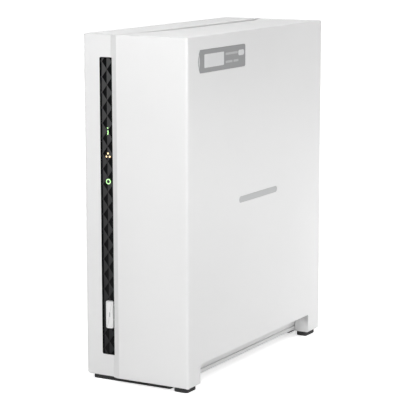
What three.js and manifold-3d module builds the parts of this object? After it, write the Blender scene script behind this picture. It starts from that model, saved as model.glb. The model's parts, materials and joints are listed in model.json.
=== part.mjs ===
// A one-bay network attached storage unit, in millimetres.
//
// X runs across the width (right is +), Y from the front (-) to the rear (+), and Z up. The origin is
// the centre of the footprint, on the ground. The white shell is two mouldings: a left housing that
// carries everything inside, and a right cover that draws off forwards along the seam on the top.
import * as THREE from "three";
import { mergeVertices } from "three/addons/utils/BufferGeometryUtils.js";
import Module from "manifold-3d";

const wasm = await Module();
wasm.setup();

// ---------------------------------------------------------------------------------------------------
// Driving dimensions
// ---------------------------------------------------------------------------------------------------

const WIDTH = 65;
const DEPTH = 157;
const HEIGHT = 188.6;
const WALL = 2.2; // thickness of the mouldings
const GAP = 0.3; // gap between the two shells, and round anything that moves
const FOOT_HEIGHT = 3;
const FLOOR_Z = 3.8; // underside of the floor, between its front and rear pads
const TOP_BAND = 23; // width of the housing's part of the top
const COVER_FRONT_LEFT = 21.7; // where the cover's front face starts, right of its sloping step
const BASE_WIDTH = 56; // width of the housing's floor; the cover's legs fill the rest
const FRONT_BASE_WIDTH = 54; // width of the floor beside the cover's front leg, which is the wider one
const FRONT_STEP = 2.2; // how far the left of the front stands behind the right
const LEG_DEPTH = 13; // front leg, measured from the front of the cover
const REAR_LEG_DEPTH = 14.5;
const ARCH_TOP_Z = 13.8; // top of the opening between the cover's legs
const COVER_CORNER_R = 1.5;
const PANEL_CORNER_R = 2;

const LEFT = -WIDTH / 2;
const RIGHT = WIDTH / 2;
const FRONT = -DEPTH / 2;
const REAR = DEPTH / 2;
const INNER_LEFT = LEFT + WALL;
const INNER_RIGHT = RIGHT - WALL;
const INNER_TOP = HEIGHT - WALL;
const FLOOR_TOP = FLOOR_Z + WALL;
const SEAM_X = LEFT + TOP_BAND;
const BASE_RIGHT = LEFT + BASE_WIDTH;
const FRONT_BASE_RIGHT = LEFT + FRONT_BASE_WIDTH;
const PANEL_Y = FRONT + FRONT_STEP; // face of the front's left part
const COVER_BACK_Y = PANEL_Y - GAP; // back of the cover's front wall
const LEG_BACK_Y = FRONT + LEG_DEPTH;
const RAIL_FRONT_Y = LEG_BACK_Y + GAP; // front end of the housing's rail
const REAR_LEG_Y = REAR - REAR_LEG_DEPTH;

// Dark strip in the front, with its lights and its key.
const STRIP = { left: LEFT + 10.1, right: LEFT + 17.8, bottom: 15.2, top: 176.4, recess: 0.6 };
const STRIP_FACE_Y = PANEL_Y + STRIP.recess;
const STRIP_BACK_Y = PANEL_Y + WALL + 1.7;
const LIGHT_X = LEFT + 14.3;
const STATUS_Z = 137.2;
const NETWORK_Z = 124;
const READY_Z = 110;
const KEY = { left: LEFT + 12.1, right: LEFT + 16.7, bottom: 29.6, top: 44.8, travel: 0.8 };
const KEY_Z = (KEY.bottom + KEY.top) / 2;
const KEY_FACE_Y = STRIP_FACE_Y - 0.4;
const FRONT_BOARD_Y = -66; // face that carries the switch
const FRONT_BOARD = { left: -29.5, right: -11, bottom: 24, top: 146 };
const FRONT_CABLE = { thickness: 0.6, bottom: 64, top: 75 };
const LIGHT_DOT_R = 0.6;
const NETWORK_DOTS_R = 1.05; // radius on which the three dots of the network light lie
const READY_RING = { outer: 1.5, inner: 1 };

// Rear panel, set in from the shell's rear edge so that screw heads stay inside the depth.
const REAR_PANEL = { front: REAR - 3.9, back: REAR - 1.9, left: -30, right: 30 };
const COVER_SCREW_X = 26.5;
const COVER_SCREW_ZS = [20.5, 181];
const COVER_BOSS_HALF = 3.5;
const SECURITY_SLOT = [8, 15.4, 34, 37.4];
const RIB_Z = ARCH_TOP_Z + 0.7; // guide rib of the cover, which runs on the housing's rail
const RIB_TOP_Z = RIB_Z + 1.4;
const RIB_LEFT = BASE_RIGHT - 4;
const RAIL_GROOVE = { depth: 0.8, bottom: 6, top: 6.6 };
const FLOOR_SLOT = { count: 9, pitch: 12, left: -14, right: 12, width: 3 };

// Mainboard, upright beside the left wall.
const BOARD = { left: -24.8, right: -23.2, front: -40, back: 73.4, bottom: 15, top: 115 };
const BOARD_SCREWS = [
  [-34, 24],
  [-34, 109],
  [26, 109],
];
const PORT_BACK_Y = REAR_PANEL.back + 0.2;
const DC_JACK = { bottom: 26, top: 36, front: 61, height: 11 };
const LAN_JACK = { bottom: 44, top: 60, front: 55, height: 13.5 };
const USB_PORT = { width: 13.2, front: 60, height: 6.4 };
const USB_BOTTOMS = [67, 85];
const RESET_Z = 106;
const RESET_X = BOARD.right + 3.2;
const RESET_TRAVEL = 0.6;
const RESET_TAIL_Y = 66.7; // inner end of the reset button, in its switch
const PROCESSOR = { height: 1.5, y: [1, 21], z: [61, 81] };
const HEATSINK = { base: 2, height: 8, fins: 8, fin: 1, y: [-5, 27], z: [55, 87] };
const MEMORY = { height: 1.1, y: [4, 17], z: [36, 45] };
const CELL = { radius: 10, height: 3.2, y: -22, z: 92 };
const FAN_PLUG = { height: 5.2, y: [40, 47], z: [98, 104] };

// Fan, 50 mm square, on the rear panel above the mainboard.
const FAN = { x: 0, z: 148, size: 50, depth: 15, bore: 23.4, screw: 20 };
const FAN_BACK_Y = REAR_PANEL.front;
const FAN_FRONT_Y = FAN_BACK_Y - FAN.depth;
const FAN_HUB_R = 10.5;
const FAN_BLADES = 7;

// 3.5 inch disk drive, upright, with its connectors down: 147 x 101.6 x 26.1.
const DRIVE = { left: -3, right: 23.1, front: -58, back: 43.6, bottom: 28, top: 175 };
const CASTING_LEFT = DRIVE.left + 2.5;
const LID_LEFT = DRIVE.right - 1.5;
const WELL_LEFT = CASTING_LEFT + 6; // floor of the disk well
const DISK_R = 47.5;
const WELL_R = 48.3;
const SPINDLE_Y = (DRIVE.front + DRIVE.back) / 2;
const SPINDLE_Z = DRIVE.top - 50.5;
const PIVOT_Y = 20;
const PIVOT_Z = 66;
const ARM_LENGTH = 47;
const ARM_PARK_DEG = 65.8; // direction of the parked arm, from +Y towards +Z
const DRIVE_SCREW_X = DRIVE.left + 6.35;
const DRIVE_SCREW_ZS = [DRIVE.bottom + 28.5, DRIVE.bottom + 28.5 + 101.6];
const SATA = { front: -38, back: 2, boardZ: 18.4, boardRight: 10, sheet: 1.6 };

// Steel cage that holds the drive.
const CAGE = { left: -7.4, right: 20, front: -59.4, back: 45, bottom: 30, top: 172, sheet: 1.2 };
const CAGE_SCREWS = [
  [-52, 40],
  [-52, 164],
  [37, 164],
];

const SMALL_ROUND = 12; // facets round a screw
const MEDIUM_ROUND = 28;
const LARGE_ROUND = 48;

// ---------------------------------------------------------------------------------------------------
// Making solids
// ---------------------------------------------------------------------------------------------------

function toManifold(positions, triangles) {
  return new wasm.Manifold(new wasm.Mesh({ numProp: 3, vertProperties: positions, triVerts: triangles }));
}

// A closed three.js geometry as a solid, with its faces turned to point out.
function solidOf(geometry) {
  const bare = geometry.clone();
  bare.deleteAttribute("normal");
  bare.deleteAttribute("uv");
  const merged = mergeVertices(bare, 1e-4);
  const positions = merged.attributes.position.array;
  const triangles = new Uint32Array(merged.index.array);
  const solid = toManifold(positions, triangles);
  return solid.volume() < 0 ? toManifold(positions, triangles.reverse()) : solid;
}

function geometryOf(solid) {
  const raw = solid.getMesh();
  const geometry = new THREE.BufferGeometry();
  geometry.setAttribute("position", new THREE.BufferAttribute(raw.vertProperties, 3));
  geometry.setIndex(new THREE.BufferAttribute(raw.triVerts, 1));
  geometry.computeVertexNormals();
  return geometry;
}

const join = (...solids) => solids.reduce((sum, solid) => sum.add(solid));
const cut = (solid, ...tools) => tools.reduce((rest, tool) => rest.subtract(tool), solid);

// A box from its limits along X, Y and Z.
function block([x0, x1], [y0, y1], [z0, z1]) {
  const box = new THREE.BoxGeometry(x1 - x0, y1 - y0, z1 - z0);
  return solidOf(box.translate((x0 + x1) / 2, (y0 + y1) / 2, (z0 + z1) / 2));
}

const UNIT = {
  x: new THREE.Vector3(1, 0, 0),
  y: new THREE.Vector3(0, 1, 0),
  z: new THREE.Vector3(0, 0, 1),
};
// For each axis, where a flat shape's own X, Y and normal go: (y, z), (x, z) or (x, y) shapes.
const SHAPE_FRAME = {
  x: new THREE.Matrix4().makeBasis(UNIT.y, UNIT.z, UNIT.x),
  y: new THREE.Matrix4().makeBasis(UNIT.x, UNIT.z, UNIT.y.clone().negate()),
  z: new THREE.Matrix4(),
};

// A flat shape extruded along an axis between two places on it.
function prism(shape, axis, from, to, curveSegments = 6) {
  const start = axis === "y" ? -to : from;
  const geometry = new THREE.ExtrudeGeometry(shape, { depth: to - from, bevelEnabled: false, curveSegments });
  return solidOf(geometry.translate(0, 0, start).applyMatrix4(SHAPE_FRAME[axis]));
}

// A profile of [radius, place along the axis] points turned about an X axis through (y, z) = (u, v),
// or a Y axis through (x, z) = (u, v).
function turned(profile, axis, [u, v], facets = MEDIUM_ROUND) {
  const points = profile.map(([radius, along]) => new THREE.Vector2(radius, along));
  const geometry = new THREE.LatheGeometry(points, facets);
  if (axis === "x") return solidOf(geometry.rotateZ(-Math.PI / 2).translate(0, u, v));
  return solidOf(geometry.translate(u, 0, v));
}

function rod(axis, radius, from, to, at, facets = SMALL_ROUND) {
  const profile = [
    [0, from],
    [radius, from],
    [radius, to],
    [0, to],
  ];
  return turned(profile, axis, at, facets);
}

function rectangle(u0, u1, v0, v1, radius) {
  const shape = new THREE.Shape();
  shape.moveTo(u0 + radius, v0);
  shape.lineTo(u1 - radius, v0);
  shape.absarc(u1 - radius, v0 + radius, radius, -Math.PI / 2, 0);
  shape.lineTo(u1, v1 - radius);
  shape.absarc(u1 - radius, v1 - radius, radius, 0, Math.PI / 2);
  shape.lineTo(u0 + radius, v1);
  shape.absarc(u0 + radius, v1 - radius, radius, Math.PI / 2, Math.PI);
  shape.lineTo(u0, v0 + radius);
  shape.absarc(u0 + radius, v0 + radius, radius, Math.PI, Math.PI * 1.5);
  return shape;
}

function polygon(points) {
  const shape = new THREE.Shape();
  shape.setFromPoints(points.map(([u, v]) => new THREE.Vector2(u, v)));
  return shape;
}

// ---------------------------------------------------------------------------------------------------
// Materials
// ---------------------------------------------------------------------------------------------------

function surface(color, roughness, metalness = 0) {
  return new THREE.MeshStandardMaterial({ color, roughness, metalness });
}

const WHITE_PLASTIC = surface(0xf2f2f2, 0.5);
const BLACK_GLOSS = surface(0x151517, 0.15);
const BLACK_PLASTIC = surface(0x1c1c1e, 0.5);
const GREY_LABEL = surface(0x8b8f93, 0.4);
const GREY_INK = surface(0xbcbec0, 0.5);
const RUBBER = surface(0x2c2c2d, 0.9);
const STEEL = surface(0xb9bcbe, 0.35, 1);
const ALUMINIUM = surface(0xc8cacc, 0.4, 1);
const MIRROR_DISK = surface(0xdfe1e3, 0.08, 1);
const GREEN_BOARD = surface(0x1f5a35, 0.45);
const GREEN_LIGHT = surface(0x6fe08a, 0.3);
const AMBER_LIGHT = surface(0xf3d9a0, 0.3);
const COPPER = surface(0xb0693a, 0.4, 1);
const PALE_CABLE = surface(0xd8dadb, 0.6);
const CREAM_PLASTIC = surface(0xe8e4d8, 0.5);

const unit = new THREE.Group();

function add(name, solid, material) {
  const mesh = new THREE.Mesh(geometryOf(solid), material);
  mesh.name = name;
  unit.add(mesh);
}

// ---------------------------------------------------------------------------------------------------
// White shell
// ---------------------------------------------------------------------------------------------------

// The floor, narrower beside the cover's front leg, with a pad at each end that carries a rubber bar.
function housingFloor() {
  const frontX = [LEFT, FRONT_BASE_RIGHT];
  const backX = [LEFT, BASE_RIGHT];
  return join(
    block(frontX, [PANEL_Y, LEG_BACK_Y], [FOOT_HEIGHT, FLOOR_TOP]),
    block(frontX, [LEG_BACK_Y - 1, RAIL_FRONT_Y + 1], [FLOOR_Z, FLOOR_TOP]),
    block(backX, [RAIL_FRONT_Y, REAR_LEG_Y + 1], [FLOOR_Z, FLOOR_TOP]),
    block(backX, [REAR_LEG_Y, REAR], [FOOT_HEIGHT, FLOOR_TOP]),
  );
}

function floorSlots() {
  const { count, pitch, left, right, width } = FLOOR_SLOT;
  const slots = [];
  for (let i = 0; i < count; i++) {
    const y = (i - (count - 1) / 2) * pitch;
    const outline = rectangle(left, right, y - width / 2, y + width / 2, width / 2 - 0.05);
    slots.push(prism(outline, "z", FLOOR_Z - 1, FLOOR_TOP + 1, 2));
  }
  return slots;
}

function frontPanel() {
  const cornerR = PANEL_CORNER_R;
  const right = SEAM_X - GAP;
  const outline = new THREE.Shape();
  outline.moveTo(LEFT, HEIGHT);
  outline.lineTo(LEFT, FOOT_HEIGHT + cornerR);
  outline.absarc(LEFT + cornerR, FOOT_HEIGHT + cornerR, cornerR, Math.PI, Math.PI * 1.5);
  outline.lineTo(right, FOOT_HEIGHT);
  outline.lineTo(right, HEIGHT);
  outline.closePath();
  outline.holes.push(rectangle(STRIP.left, STRIP.right, STRIP.bottom, STRIP.top, 0.8));
  return prism(outline, "y", PANEL_Y, PANEL_Y + WALL);
}

// The tongue under the cover's edge, along the seam on the top.
function seamTongue() {
  const along = [FRONT + 5, REAR_PANEL.front - GAP];
  const root = block([SEAM_X - 4, SEAM_X - GAP], along, [INNER_TOP - 1.8, INNER_TOP + 0.1]);
  return join(root, block([SEAM_X - 4, SEAM_X + 4], along, [INNER_TOP - 1.8, INNER_TOP - GAP]));
}

// The rail on the floor's right edge.
function floorRail() {
  const along = [RAIL_FRONT_Y, REAR];
  return block([BASE_RIGHT - WALL, BASE_RIGHT], along, [FLOOR_Z, ARCH_TOP_Z + 0.3]);
}

// The groove along the rail's face.
function railGroove() {
  const x = [BASE_RIGHT - RAIL_GROOVE.depth, BASE_RIGHT + 1];
  return block(x, [RAIL_FRONT_Y - 1, REAR + 1], [RAIL_GROOVE.bottom, RAIL_GROOVE.top]);
}

function standoff(to, radius, y, z) {
  const boss = rod("x", radius, INNER_LEFT - 0.5, to, [y, z]);
  return cut(boss, rod("x", 1.3, to - 8, to + 1, [y, z]));
}

function leftHousing() {
  const sideWall = block([LEFT, INNER_LEFT], [PANEL_Y, REAR], [FLOOR_Z, HEIGHT]);
  const topBand = block([LEFT, SEAM_X - GAP], [PANEL_Y, REAR], [INNER_TOP, HEIGHT]);
  const stopY = [REAR_PANEL.front - WALL, REAR_PANEL.front];
  const stopRib = block([INNER_LEFT - 0.5, INNER_LEFT + 2], stopY, [FLOOR_TOP + 1.8, INNER_TOP - 2.4]);
  const base = cut(join(housingFloor(), floorRail()), railGroove(), ...floorSlots());
  const body = join(base, sideWall, topBand, stopRib, seamTongue());
  // The panel's lower corner is rounded, so the square floor is trimmed away where the panel goes.
  const cornerZ = [FOOT_HEIGHT - 1, FOOT_HEIGHT + PANEL_CORNER_R];
  const corner = block([LEFT - 1, LEFT + PANEL_CORNER_R], [PANEL_Y - 1, PANEL_Y + WALL], cornerZ);
  const panelled = join(cut(body, corner), frontPanel());
  const posts = [30, 140].map((z) => rod("y", 2, PANEL_Y + 1, FRONT_BOARD_Y, [-27, z]));
  const boardBosses = BOARD_SCREWS.map(([y, z]) => standoff(BOARD.left, 3, y, z));
  const cageBosses = CAGE_SCREWS.map(([y, z]) => standoff(CAGE.left, 3.4, y, z));
  return join(panelled, ...posts, ...boardBosses, ...cageBosses);
}

// Front wall and side wall of the cover, seen from above: the slope on the left is the step in the front.
function coverOutline() {
  const outline = new THREE.Shape();
  outline.moveTo(STRIP.right, COVER_BACK_Y);
  outline.lineTo(LEFT + COVER_FRONT_LEFT, FRONT);
  outline.lineTo(RIGHT - COVER_CORNER_R, FRONT);
  outline.absarc(RIGHT - COVER_CORNER_R, FRONT + COVER_CORNER_R, COVER_CORNER_R, -Math.PI / 2, 0);
  outline.lineTo(RIGHT, REAR);
  outline.lineTo(INNER_RIGHT, REAR);
  outline.lineTo(INNER_RIGHT, COVER_BACK_Y);
  outline.closePath();
  return outline;
}

function coverTop() {
  const outline = new THREE.Shape();
  outline.moveTo(SEAM_X, FRONT);
  outline.lineTo(RIGHT - COVER_CORNER_R, FRONT);
  outline.absarc(RIGHT - COVER_CORNER_R, FRONT + COVER_CORNER_R, COVER_CORNER_R, -Math.PI / 2, 0);
  outline.lineTo(RIGHT, REAR);
  outline.lineTo(SEAM_X, REAR);
  outline.closePath();
  return prism(outline, "z", INNER_TOP, HEIGHT);
}

function archCutter() {
  const cornerR = 3;
  const outline = new THREE.Shape();
  outline.moveTo(LEG_BACK_Y, 0);
  outline.lineTo(REAR_LEG_Y, 0);
  outline.lineTo(REAR_LEG_Y, ARCH_TOP_Z);
  outline.lineTo(LEG_BACK_Y + cornerR, ARCH_TOP_Z);
  outline.absarc(LEG_BACK_Y + cornerR, ARCH_TOP_Z - cornerR, cornerR, Math.PI / 2, Math.PI);
  outline.closePath();
  return prism(outline, "x", INNER_RIGHT - 2, RIGHT + 1);
}

// Inner walls and sole of a hollow cover leg, from its inner face outwards and between two places along Y.
function coverLeg(innerX, front, back) {
  const side = [innerX, INNER_RIGHT + 0.5];
  const height = [FOOT_HEIGHT, RIB_TOP_Z];
  const innerWall = block([innerX, innerX + WALL], [front, back], height);
  const sole = block(side, [front, back], [FOOT_HEIGHT, FOOT_HEIGHT + WALL]);
  const frontWall = block(side, [front, front + WALL], height);
  const backWall = block(side, [back - WALL, back], height);
  return join(innerWall, sole, frontWall, backWall);
}

function coverBoss(z) {
  const high = z > HEIGHT / 2;
  const zRange = high ? [z - COVER_BOSS_HALF, INNER_TOP + 0.5] : [RIB_Z, z + COVER_BOSS_HALF];
  const bossX = [COVER_SCREW_X - COVER_BOSS_HALF, INNER_RIGHT + 0.5];
  const boss = block(bossX, [REAR_LEG_Y, REAR_PANEL.front - GAP], zRange);
  return cut(boss, rod("y", 1.7, REAR_LEG_Y - 1, REAR_PANEL.front + 1, [COVER_SCREW_X, z]));
}

const BADGE = { front: FRONT + 11, back: FRONT + 62.6, bottom: 169.2, top: 181.3, depth: 0.3 };
const MARK = { front: -22.5, back: 22.5, bottom: 94.6, top: 98, depth: 0.3 };

// The badge's outline, (y, z): its front end bulges forward.
function badgeOutline(margin) {
  const cornerR = 1.2;
  const bulge = 2;
  const front = BADGE.front + bulge - margin;
  const back = BADGE.back + margin;
  const bottom = BADGE.bottom - margin;
  const top = BADGE.top + margin;
  const shape = new THREE.Shape();
  shape.moveTo(front, bottom);
  shape.lineTo(back - cornerR, bottom);
  shape.absarc(back - cornerR, bottom + cornerR, cornerR, -Math.PI / 2, 0);
  shape.lineTo(back, top - cornerR);
  shape.absarc(back - cornerR, top - cornerR, cornerR, 0, Math.PI / 2);
  shape.lineTo(front, top);
  shape.quadraticCurveTo(front - 2 * bulge, (bottom + top) / 2, front, bottom);
  return shape;
}

function markOutline(margin) {
  const { front, back, bottom, top } = MARK;
  const radius = (top - bottom) / 2 + margin - 0.01;
  return rectangle(front - margin, back + margin, bottom - margin, top + margin, radius);
}

function rightCover() {
  const wrap = prism(coverOutline(), "z", FOOT_HEIGHT, HEIGHT);
  const walls = cut(wrap, archCutter());
  const frontLeg = coverLeg(FRONT_BASE_RIGHT + GAP, FRONT + 1, LEG_BACK_Y);
  const rearLeg = coverLeg(BASE_RIGHT + GAP, REAR_LEG_Y, REAR);
  const rib = block([RIB_LEFT, INNER_RIGHT + 0.5], [LEG_BACK_Y - 1, REAR_LEG_Y + 1], [RIB_Z, RIB_TOP_Z]);
  const bosses = COVER_SCREW_ZS.map(coverBoss);
  const shell = join(walls, coverTop(), rib, frontLeg, rearLeg, ...bosses);
  // The legs are square, so the rounded front corner is taken from the walls alone.
  const cornerX = [RIGHT - COVER_CORNER_R, RIGHT + 1];
  const corner = block(cornerX, [FRONT - 1, FRONT + COVER_CORNER_R], [0, HEIGHT + 1]);
  const trimmed = join(cut(shell, corner), wrap.intersect(corner));
  const pockets = [
    prism(badgeOutline(0.1), "x", RIGHT - BADGE.depth, RIGHT + 1),
    prism(markOutline(0.1), "x", RIGHT - MARK.depth, RIGHT + 1),
  ];
  return cut(trimmed, ...pockets);
}

// The feet are rubber blocks with rounded corners, under the legs.
function foot(x0, x1, y0, y1) {
  return prism(rectangle(x0, x1, y0, y1, 0.8), "z", 0, FOOT_HEIGHT, 3);
}

function addShell() {
  add("left_housing", leftHousing(), WHITE_PLASTIC);
  add("right_cover", rightCover(), WHITE_PLASTIC);
  add("side_badge", prism(badgeOutline(0), "x", RIGHT - BADGE.depth, RIGHT), GREY_LABEL);
  add("side_mark", prism(markOutline(0), "x", RIGHT - MARK.depth, RIGHT), GREY_INK);
  const barX = [LEFT + 2, FRONT_BASE_RIGHT - 3];
  const footRight = RIGHT - 1.9;
  add("front_foot_bar", foot(...barX, FRONT + 4.9, LEG_BACK_Y - 1), RUBBER);
  add("rear_foot_bar", foot(...barX, REAR_LEG_Y + 2.5, REAR - 2.5), RUBBER);
  add("front_right_foot", foot(FRONT_BASE_RIGHT + 0.5, footRight, FRONT + 2.2, LEG_BACK_Y - 1), RUBBER);
  add("rear_right_foot", foot(BASE_RIGHT + 0.4, footRight, REAR_LEG_Y + 1.4, REAR - 1.5), RUBBER);
}

// ---------------------------------------------------------------------------------------------------
// Front strip, lights and key
// ---------------------------------------------------------------------------------------------------

function windowStrip() {
  const grown = (by, radius) => {
    return rectangle(STRIP.left - by, STRIP.right + by, STRIP.bottom - by, STRIP.top + by, radius);
  };
  const face = prism(grown(-0.1, 0.7), "y", STRIP_FACE_Y, STRIP_BACK_Y);
  const body = join(face, prism(grown(2.3, 1), "y", PANEL_Y + WALL, STRIP_BACK_Y));
  const keyHole = rectangle(KEY.left - GAP, KEY.right + GAP, KEY.bottom - GAP, KEY.top + GAP, 1);
  const statusSlot = rectangle(LIGHT_X - 0.8, LIGHT_X + 0.8, STATUS_Z - 2.3, STATUS_Z + 2.5, 0.7);
  const through = [STRIP_FACE_Y - 1, STRIP_BACK_Y + 1];
  return cut(
    body,
    prism(keyHole, "y", ...through),
    prism(statusSlot, "y", ...through, 4),
    rod("y", 1.9, ...through, [LIGHT_X, NETWORK_Z]),
    rod("y", 1.65, ...through, [LIGHT_X, READY_Z]),
  );
}

// A light guide: a block behind the strip that joins the shapes showing through it.
function lightGuide(z, ...shapes) {
  const y = [STRIP_BACK_Y, FRONT_BOARD_Y - 1];
  return join(block([LIGHT_X - 2.2, LIGHT_X + 2.2], y, [z - 2.6, z + 2.8]), ...shapes);
}

function addLights() {
  const along = [STRIP_FACE_Y - 0.05, STRIP_BACK_Y + 0.2];
  const bar = block([LIGHT_X - 0.5, LIGHT_X + 0.5], along, [STATUS_Z - 2, STATUS_Z + 0.5]);
  const dot = rod("y", LIGHT_DOT_R, ...along, [LIGHT_X, STATUS_Z + 1.6]);
  add("status_light", lightGuide(STATUS_Z, bar, dot), GREEN_LIGHT);
  const dots = [90, 210, 330].map((degrees) => {
    const angle = THREE.MathUtils.degToRad(degrees);
    const x = LIGHT_X + NETWORK_DOTS_R * Math.cos(angle);
    return rod("y", LIGHT_DOT_R, ...along, [x, NETWORK_Z + NETWORK_DOTS_R * Math.sin(angle)]);
  });
  add("network_light", lightGuide(NETWORK_Z, ...dots), AMBER_LIGHT);
  const ring = cut(
    rod("y", READY_RING.outer, ...along, [LIGHT_X, READY_Z], MEDIUM_ROUND),
    rod("y", READY_RING.inner, along[0] - 1, STRIP_BACK_Y - 0.5, [LIGHT_X, READY_Z], MEDIUM_ROUND),
  );
  add("ready_light", lightGuide(READY_Z, ring), GREEN_LIGHT);
}

// The white key: a cap in the strip, a flange behind it that keeps it in, and a stem for the switch.
function powerButton() {
  const midX = (KEY.left + KEY.right) / 2;
  const flangeY = [STRIP_BACK_Y + 0.2, STRIP_BACK_Y + 1];
  const grown = (by, radius) => {
    return rectangle(KEY.left - by, KEY.right + by, KEY.bottom - by, KEY.top + by, radius);
  };
  const cap = prism(grown(0, 0.9), "y", KEY_FACE_Y, flangeY[1], 4);
  const flange = prism(grown(1, 1), "y", ...flangeY, 2);
  const stem = rod("y", 1.2, flangeY[0], FRONT_BOARD_Y - 2.6 - KEY.travel - 0.05, [midX, KEY_Z]);
  return join(cap, flange, stem);
}

function buttonSwitch() {
  const midX = (KEY.left + KEY.right) / 2;
  const can = block([midX - 3, midX + 3], [FRONT_BOARD_Y - 2, FRONT_BOARD_Y], [KEY_Z - 3, KEY_Z + 3]);
  return join(can, rod("y", 1.4, FRONT_BOARD_Y - 2.6, FRONT_BOARD_Y - 1, [midX, KEY_Z]));
}

// The flat cable: an even band along a line of (x, y) points, upright.
function flatCable(points) {
  const { thickness, bottom, top } = FRONT_CABLE;
  const curve = new THREE.SplineCurve(points.map(([x, y]) => new THREE.Vector2(x, y)));
  const steps = 14;
  const sides = [[], []];
  for (let i = 0; i <= steps; i++) {
    const point = curve.getPoint(i / steps);
    const tangent = curve.getTangent(i / steps);
    const offset = new THREE.Vector2(-tangent.y, tangent.x).multiplyScalar(thickness / 2);
    sides[0].push([point.x + offset.x, point.y + offset.y]);
    sides[1].unshift([point.x - offset.x, point.y - offset.y]);
  }
  return prism(polygon([...sides[0], ...sides[1]]), "z", bottom, top);
}

function addFront() {
  add("window_strip", windowStrip(), BLACK_GLOSS);
  addLights();
  add("power_button", powerButton(), WHITE_PLASTIC);
  add("button_switch", buttonSwitch(), BLACK_PLASTIC);
  const boardY = [FRONT_BOARD_Y, FRONT_BOARD_Y + 1.6];
  const boardZ = [FRONT_BOARD.bottom, FRONT_BOARD.top];
  add("front_board", block([FRONT_BOARD.left, FRONT_BOARD.right], boardY, boardZ), GREEN_BOARD);
  const path = [
    [-20, boardY[1] + 0.1],
    [-20, -58],
    [-20.4, -50],
    [-22.3, -42],
    [-22.7, -33.5],
  ];
  add("front_cable", flatCable(path), PALE_CABLE);
}

// ---------------------------------------------------------------------------------------------------
// Mainboard and rear connectors
// ---------------------------------------------------------------------------------------------------

// A pan-head screw along an axis. Its head stands from `seat` by `head` on the side that `sense` gives.
function screw(axis, at, seat, sense, length, shankR = 1.2, headR = 2.6, head = 1.7) {
  const headEnd = seat + sense * head;
  const tip = seat - sense * length;
  const crown = turned(
    [
      [0, seat],
      [headR, seat],
      [headR, seat + sense * head * 0.45],
      [headR * 0.62, headEnd],
      [0, headEnd],
    ],
    axis,
    at,
    SMALL_ROUND,
  );
  const shank = rod(axis, shankR, Math.min(tip, seat + sense * 0.2), Math.max(tip, seat + sense * 0.2), at);
  return join(crown, shank);
}

function mainboard() {
  const plate = block([BOARD.left, BOARD.right], [BOARD.front, BOARD.back], [BOARD.bottom, BOARD.top]);
  const holes = BOARD_SCREWS.map(([y, z]) => rod("x", 1.6, BOARD.left - 1, BOARD.right + 1, [y, z]));
  return cut(plate, ...holes);
}

function heatsink() {
  const bottom = BOARD.right + PROCESSOR.height;
  const baseTop = bottom + HEATSINK.base;
  const [front, back] = HEATSINK.y;
  const fins = [];
  for (let i = 0; i < HEATSINK.fins; i++) {
    const y = front + (i / (HEATSINK.fins - 1)) * (back - front - HEATSINK.fin);
    fins.push(block([baseTop - 0.2, bottom + HEATSINK.height], [y, y + HEATSINK.fin], HEATSINK.z));
  }
  return join(block([bottom, baseTop], HEATSINK.y, HEATSINK.z), ...fins);
}

function lanJack() {
  const x = [BOARD.right, BOARD.right + LAN_JACK.height];
  const body = block(x, [LAN_JACK.front, PORT_BACK_Y], [LAN_JACK.bottom, LAN_JACK.top]);
  const mid = (LAN_JACK.bottom + LAN_JACK.top) / 2;
  const mouthY = [PORT_BACK_Y - 13, PORT_BACK_Y + 1];
  const mouth = block([x[0] + 2.4, x[0] + 9.4], mouthY, [mid - 5.9, mid + 5.9]);
  const latch = block([x[0] + 9, x[0] + 11.6], mouthY, [mid - 3, mid + 3]);
  return cut(body, mouth, latch);
}

function usbPort(bottom) {
  const x = [BOARD.right, BOARD.right + USB_PORT.height];
  const z = [bottom, bottom + USB_PORT.width];
  const body = block(x, [USB_PORT.front, PORT_BACK_Y], z);
  const mouthY = [PORT_BACK_Y - 12, PORT_BACK_Y + 1];
  const mouth = block([x[0] + 0.6, x[1] - 0.6], mouthY, [z[0] + 0.5, z[1] - 0.5]);
  const tongueY = [USB_PORT.front + 1, PORT_BACK_Y - 1.2];
  const tongue = block([x[0] + 3.4, x[0] + 5], tongueY, [z[0] + 1.2, z[1] - 1.2]);
  return join(cut(body, mouth), tongue);
}

function dcJack() {
  const x = [BOARD.right, BOARD.right + DC_JACK.height];
  const middle = [x[0] + 6, (DC_JACK.bottom + DC_JACK.top) / 2];
  const body = block(x, [DC_JACK.front, PORT_BACK_Y], [DC_JACK.bottom, DC_JACK.top]);
  const mouth = rod("y", 3.3, PORT_BACK_Y - 9, PORT_BACK_Y + 1, middle, MEDIUM_ROUND);
  return join(cut(body, mouth), rod("y", 1, DC_JACK.front + 1, PORT_BACK_Y - 1, middle));
}

function resetSwitch() {
  const can = block([BOARD.right, BOARD.right + 6.4], [62, 69.5], [RESET_Z - 3.5, RESET_Z + 3.5]);
  return cut(can, rod("y", 1.2, RESET_TAIL_Y - RESET_TRAVEL - 0.1, 70, [RESET_X, RESET_Z]));
}

function coinCellHolder() {
  const at = [CELL.y, CELL.z];
  const cup = rod("x", CELL.radius + 1.6, BOARD.right, BOARD.right + 3.6, at, MEDIUM_ROUND);
  return cut(cup, rod("x", CELL.radius + 0.2, BOARD.right + 0.8, BOARD.right + 5, at, MEDIUM_ROUND));
}

// A chip or other block that stands on the mainboard.
function onBoard({ height, y, z }) {
  return block([BOARD.right, BOARD.right + height], y, z);
}

function coinCell() {
  const from = BOARD.right + 0.9;
  return rod("x", CELL.radius, from, from + CELL.height, [CELL.y, CELL.z], MEDIUM_ROUND);
}

function resetButton() {
  return rod("y", 1, RESET_TAIL_Y, REAR_PANEL.front - 0.2, [RESET_X, RESET_Z]);
}

// The riser board, level, from the mainboard to under the drive.
function sataBoard() {
  const z = [SATA.boardZ, SATA.boardZ + SATA.sheet];
  return block([BOARD.right, SATA.boardRight], [SATA.front - 4, SATA.back + 4], z);
}

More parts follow.
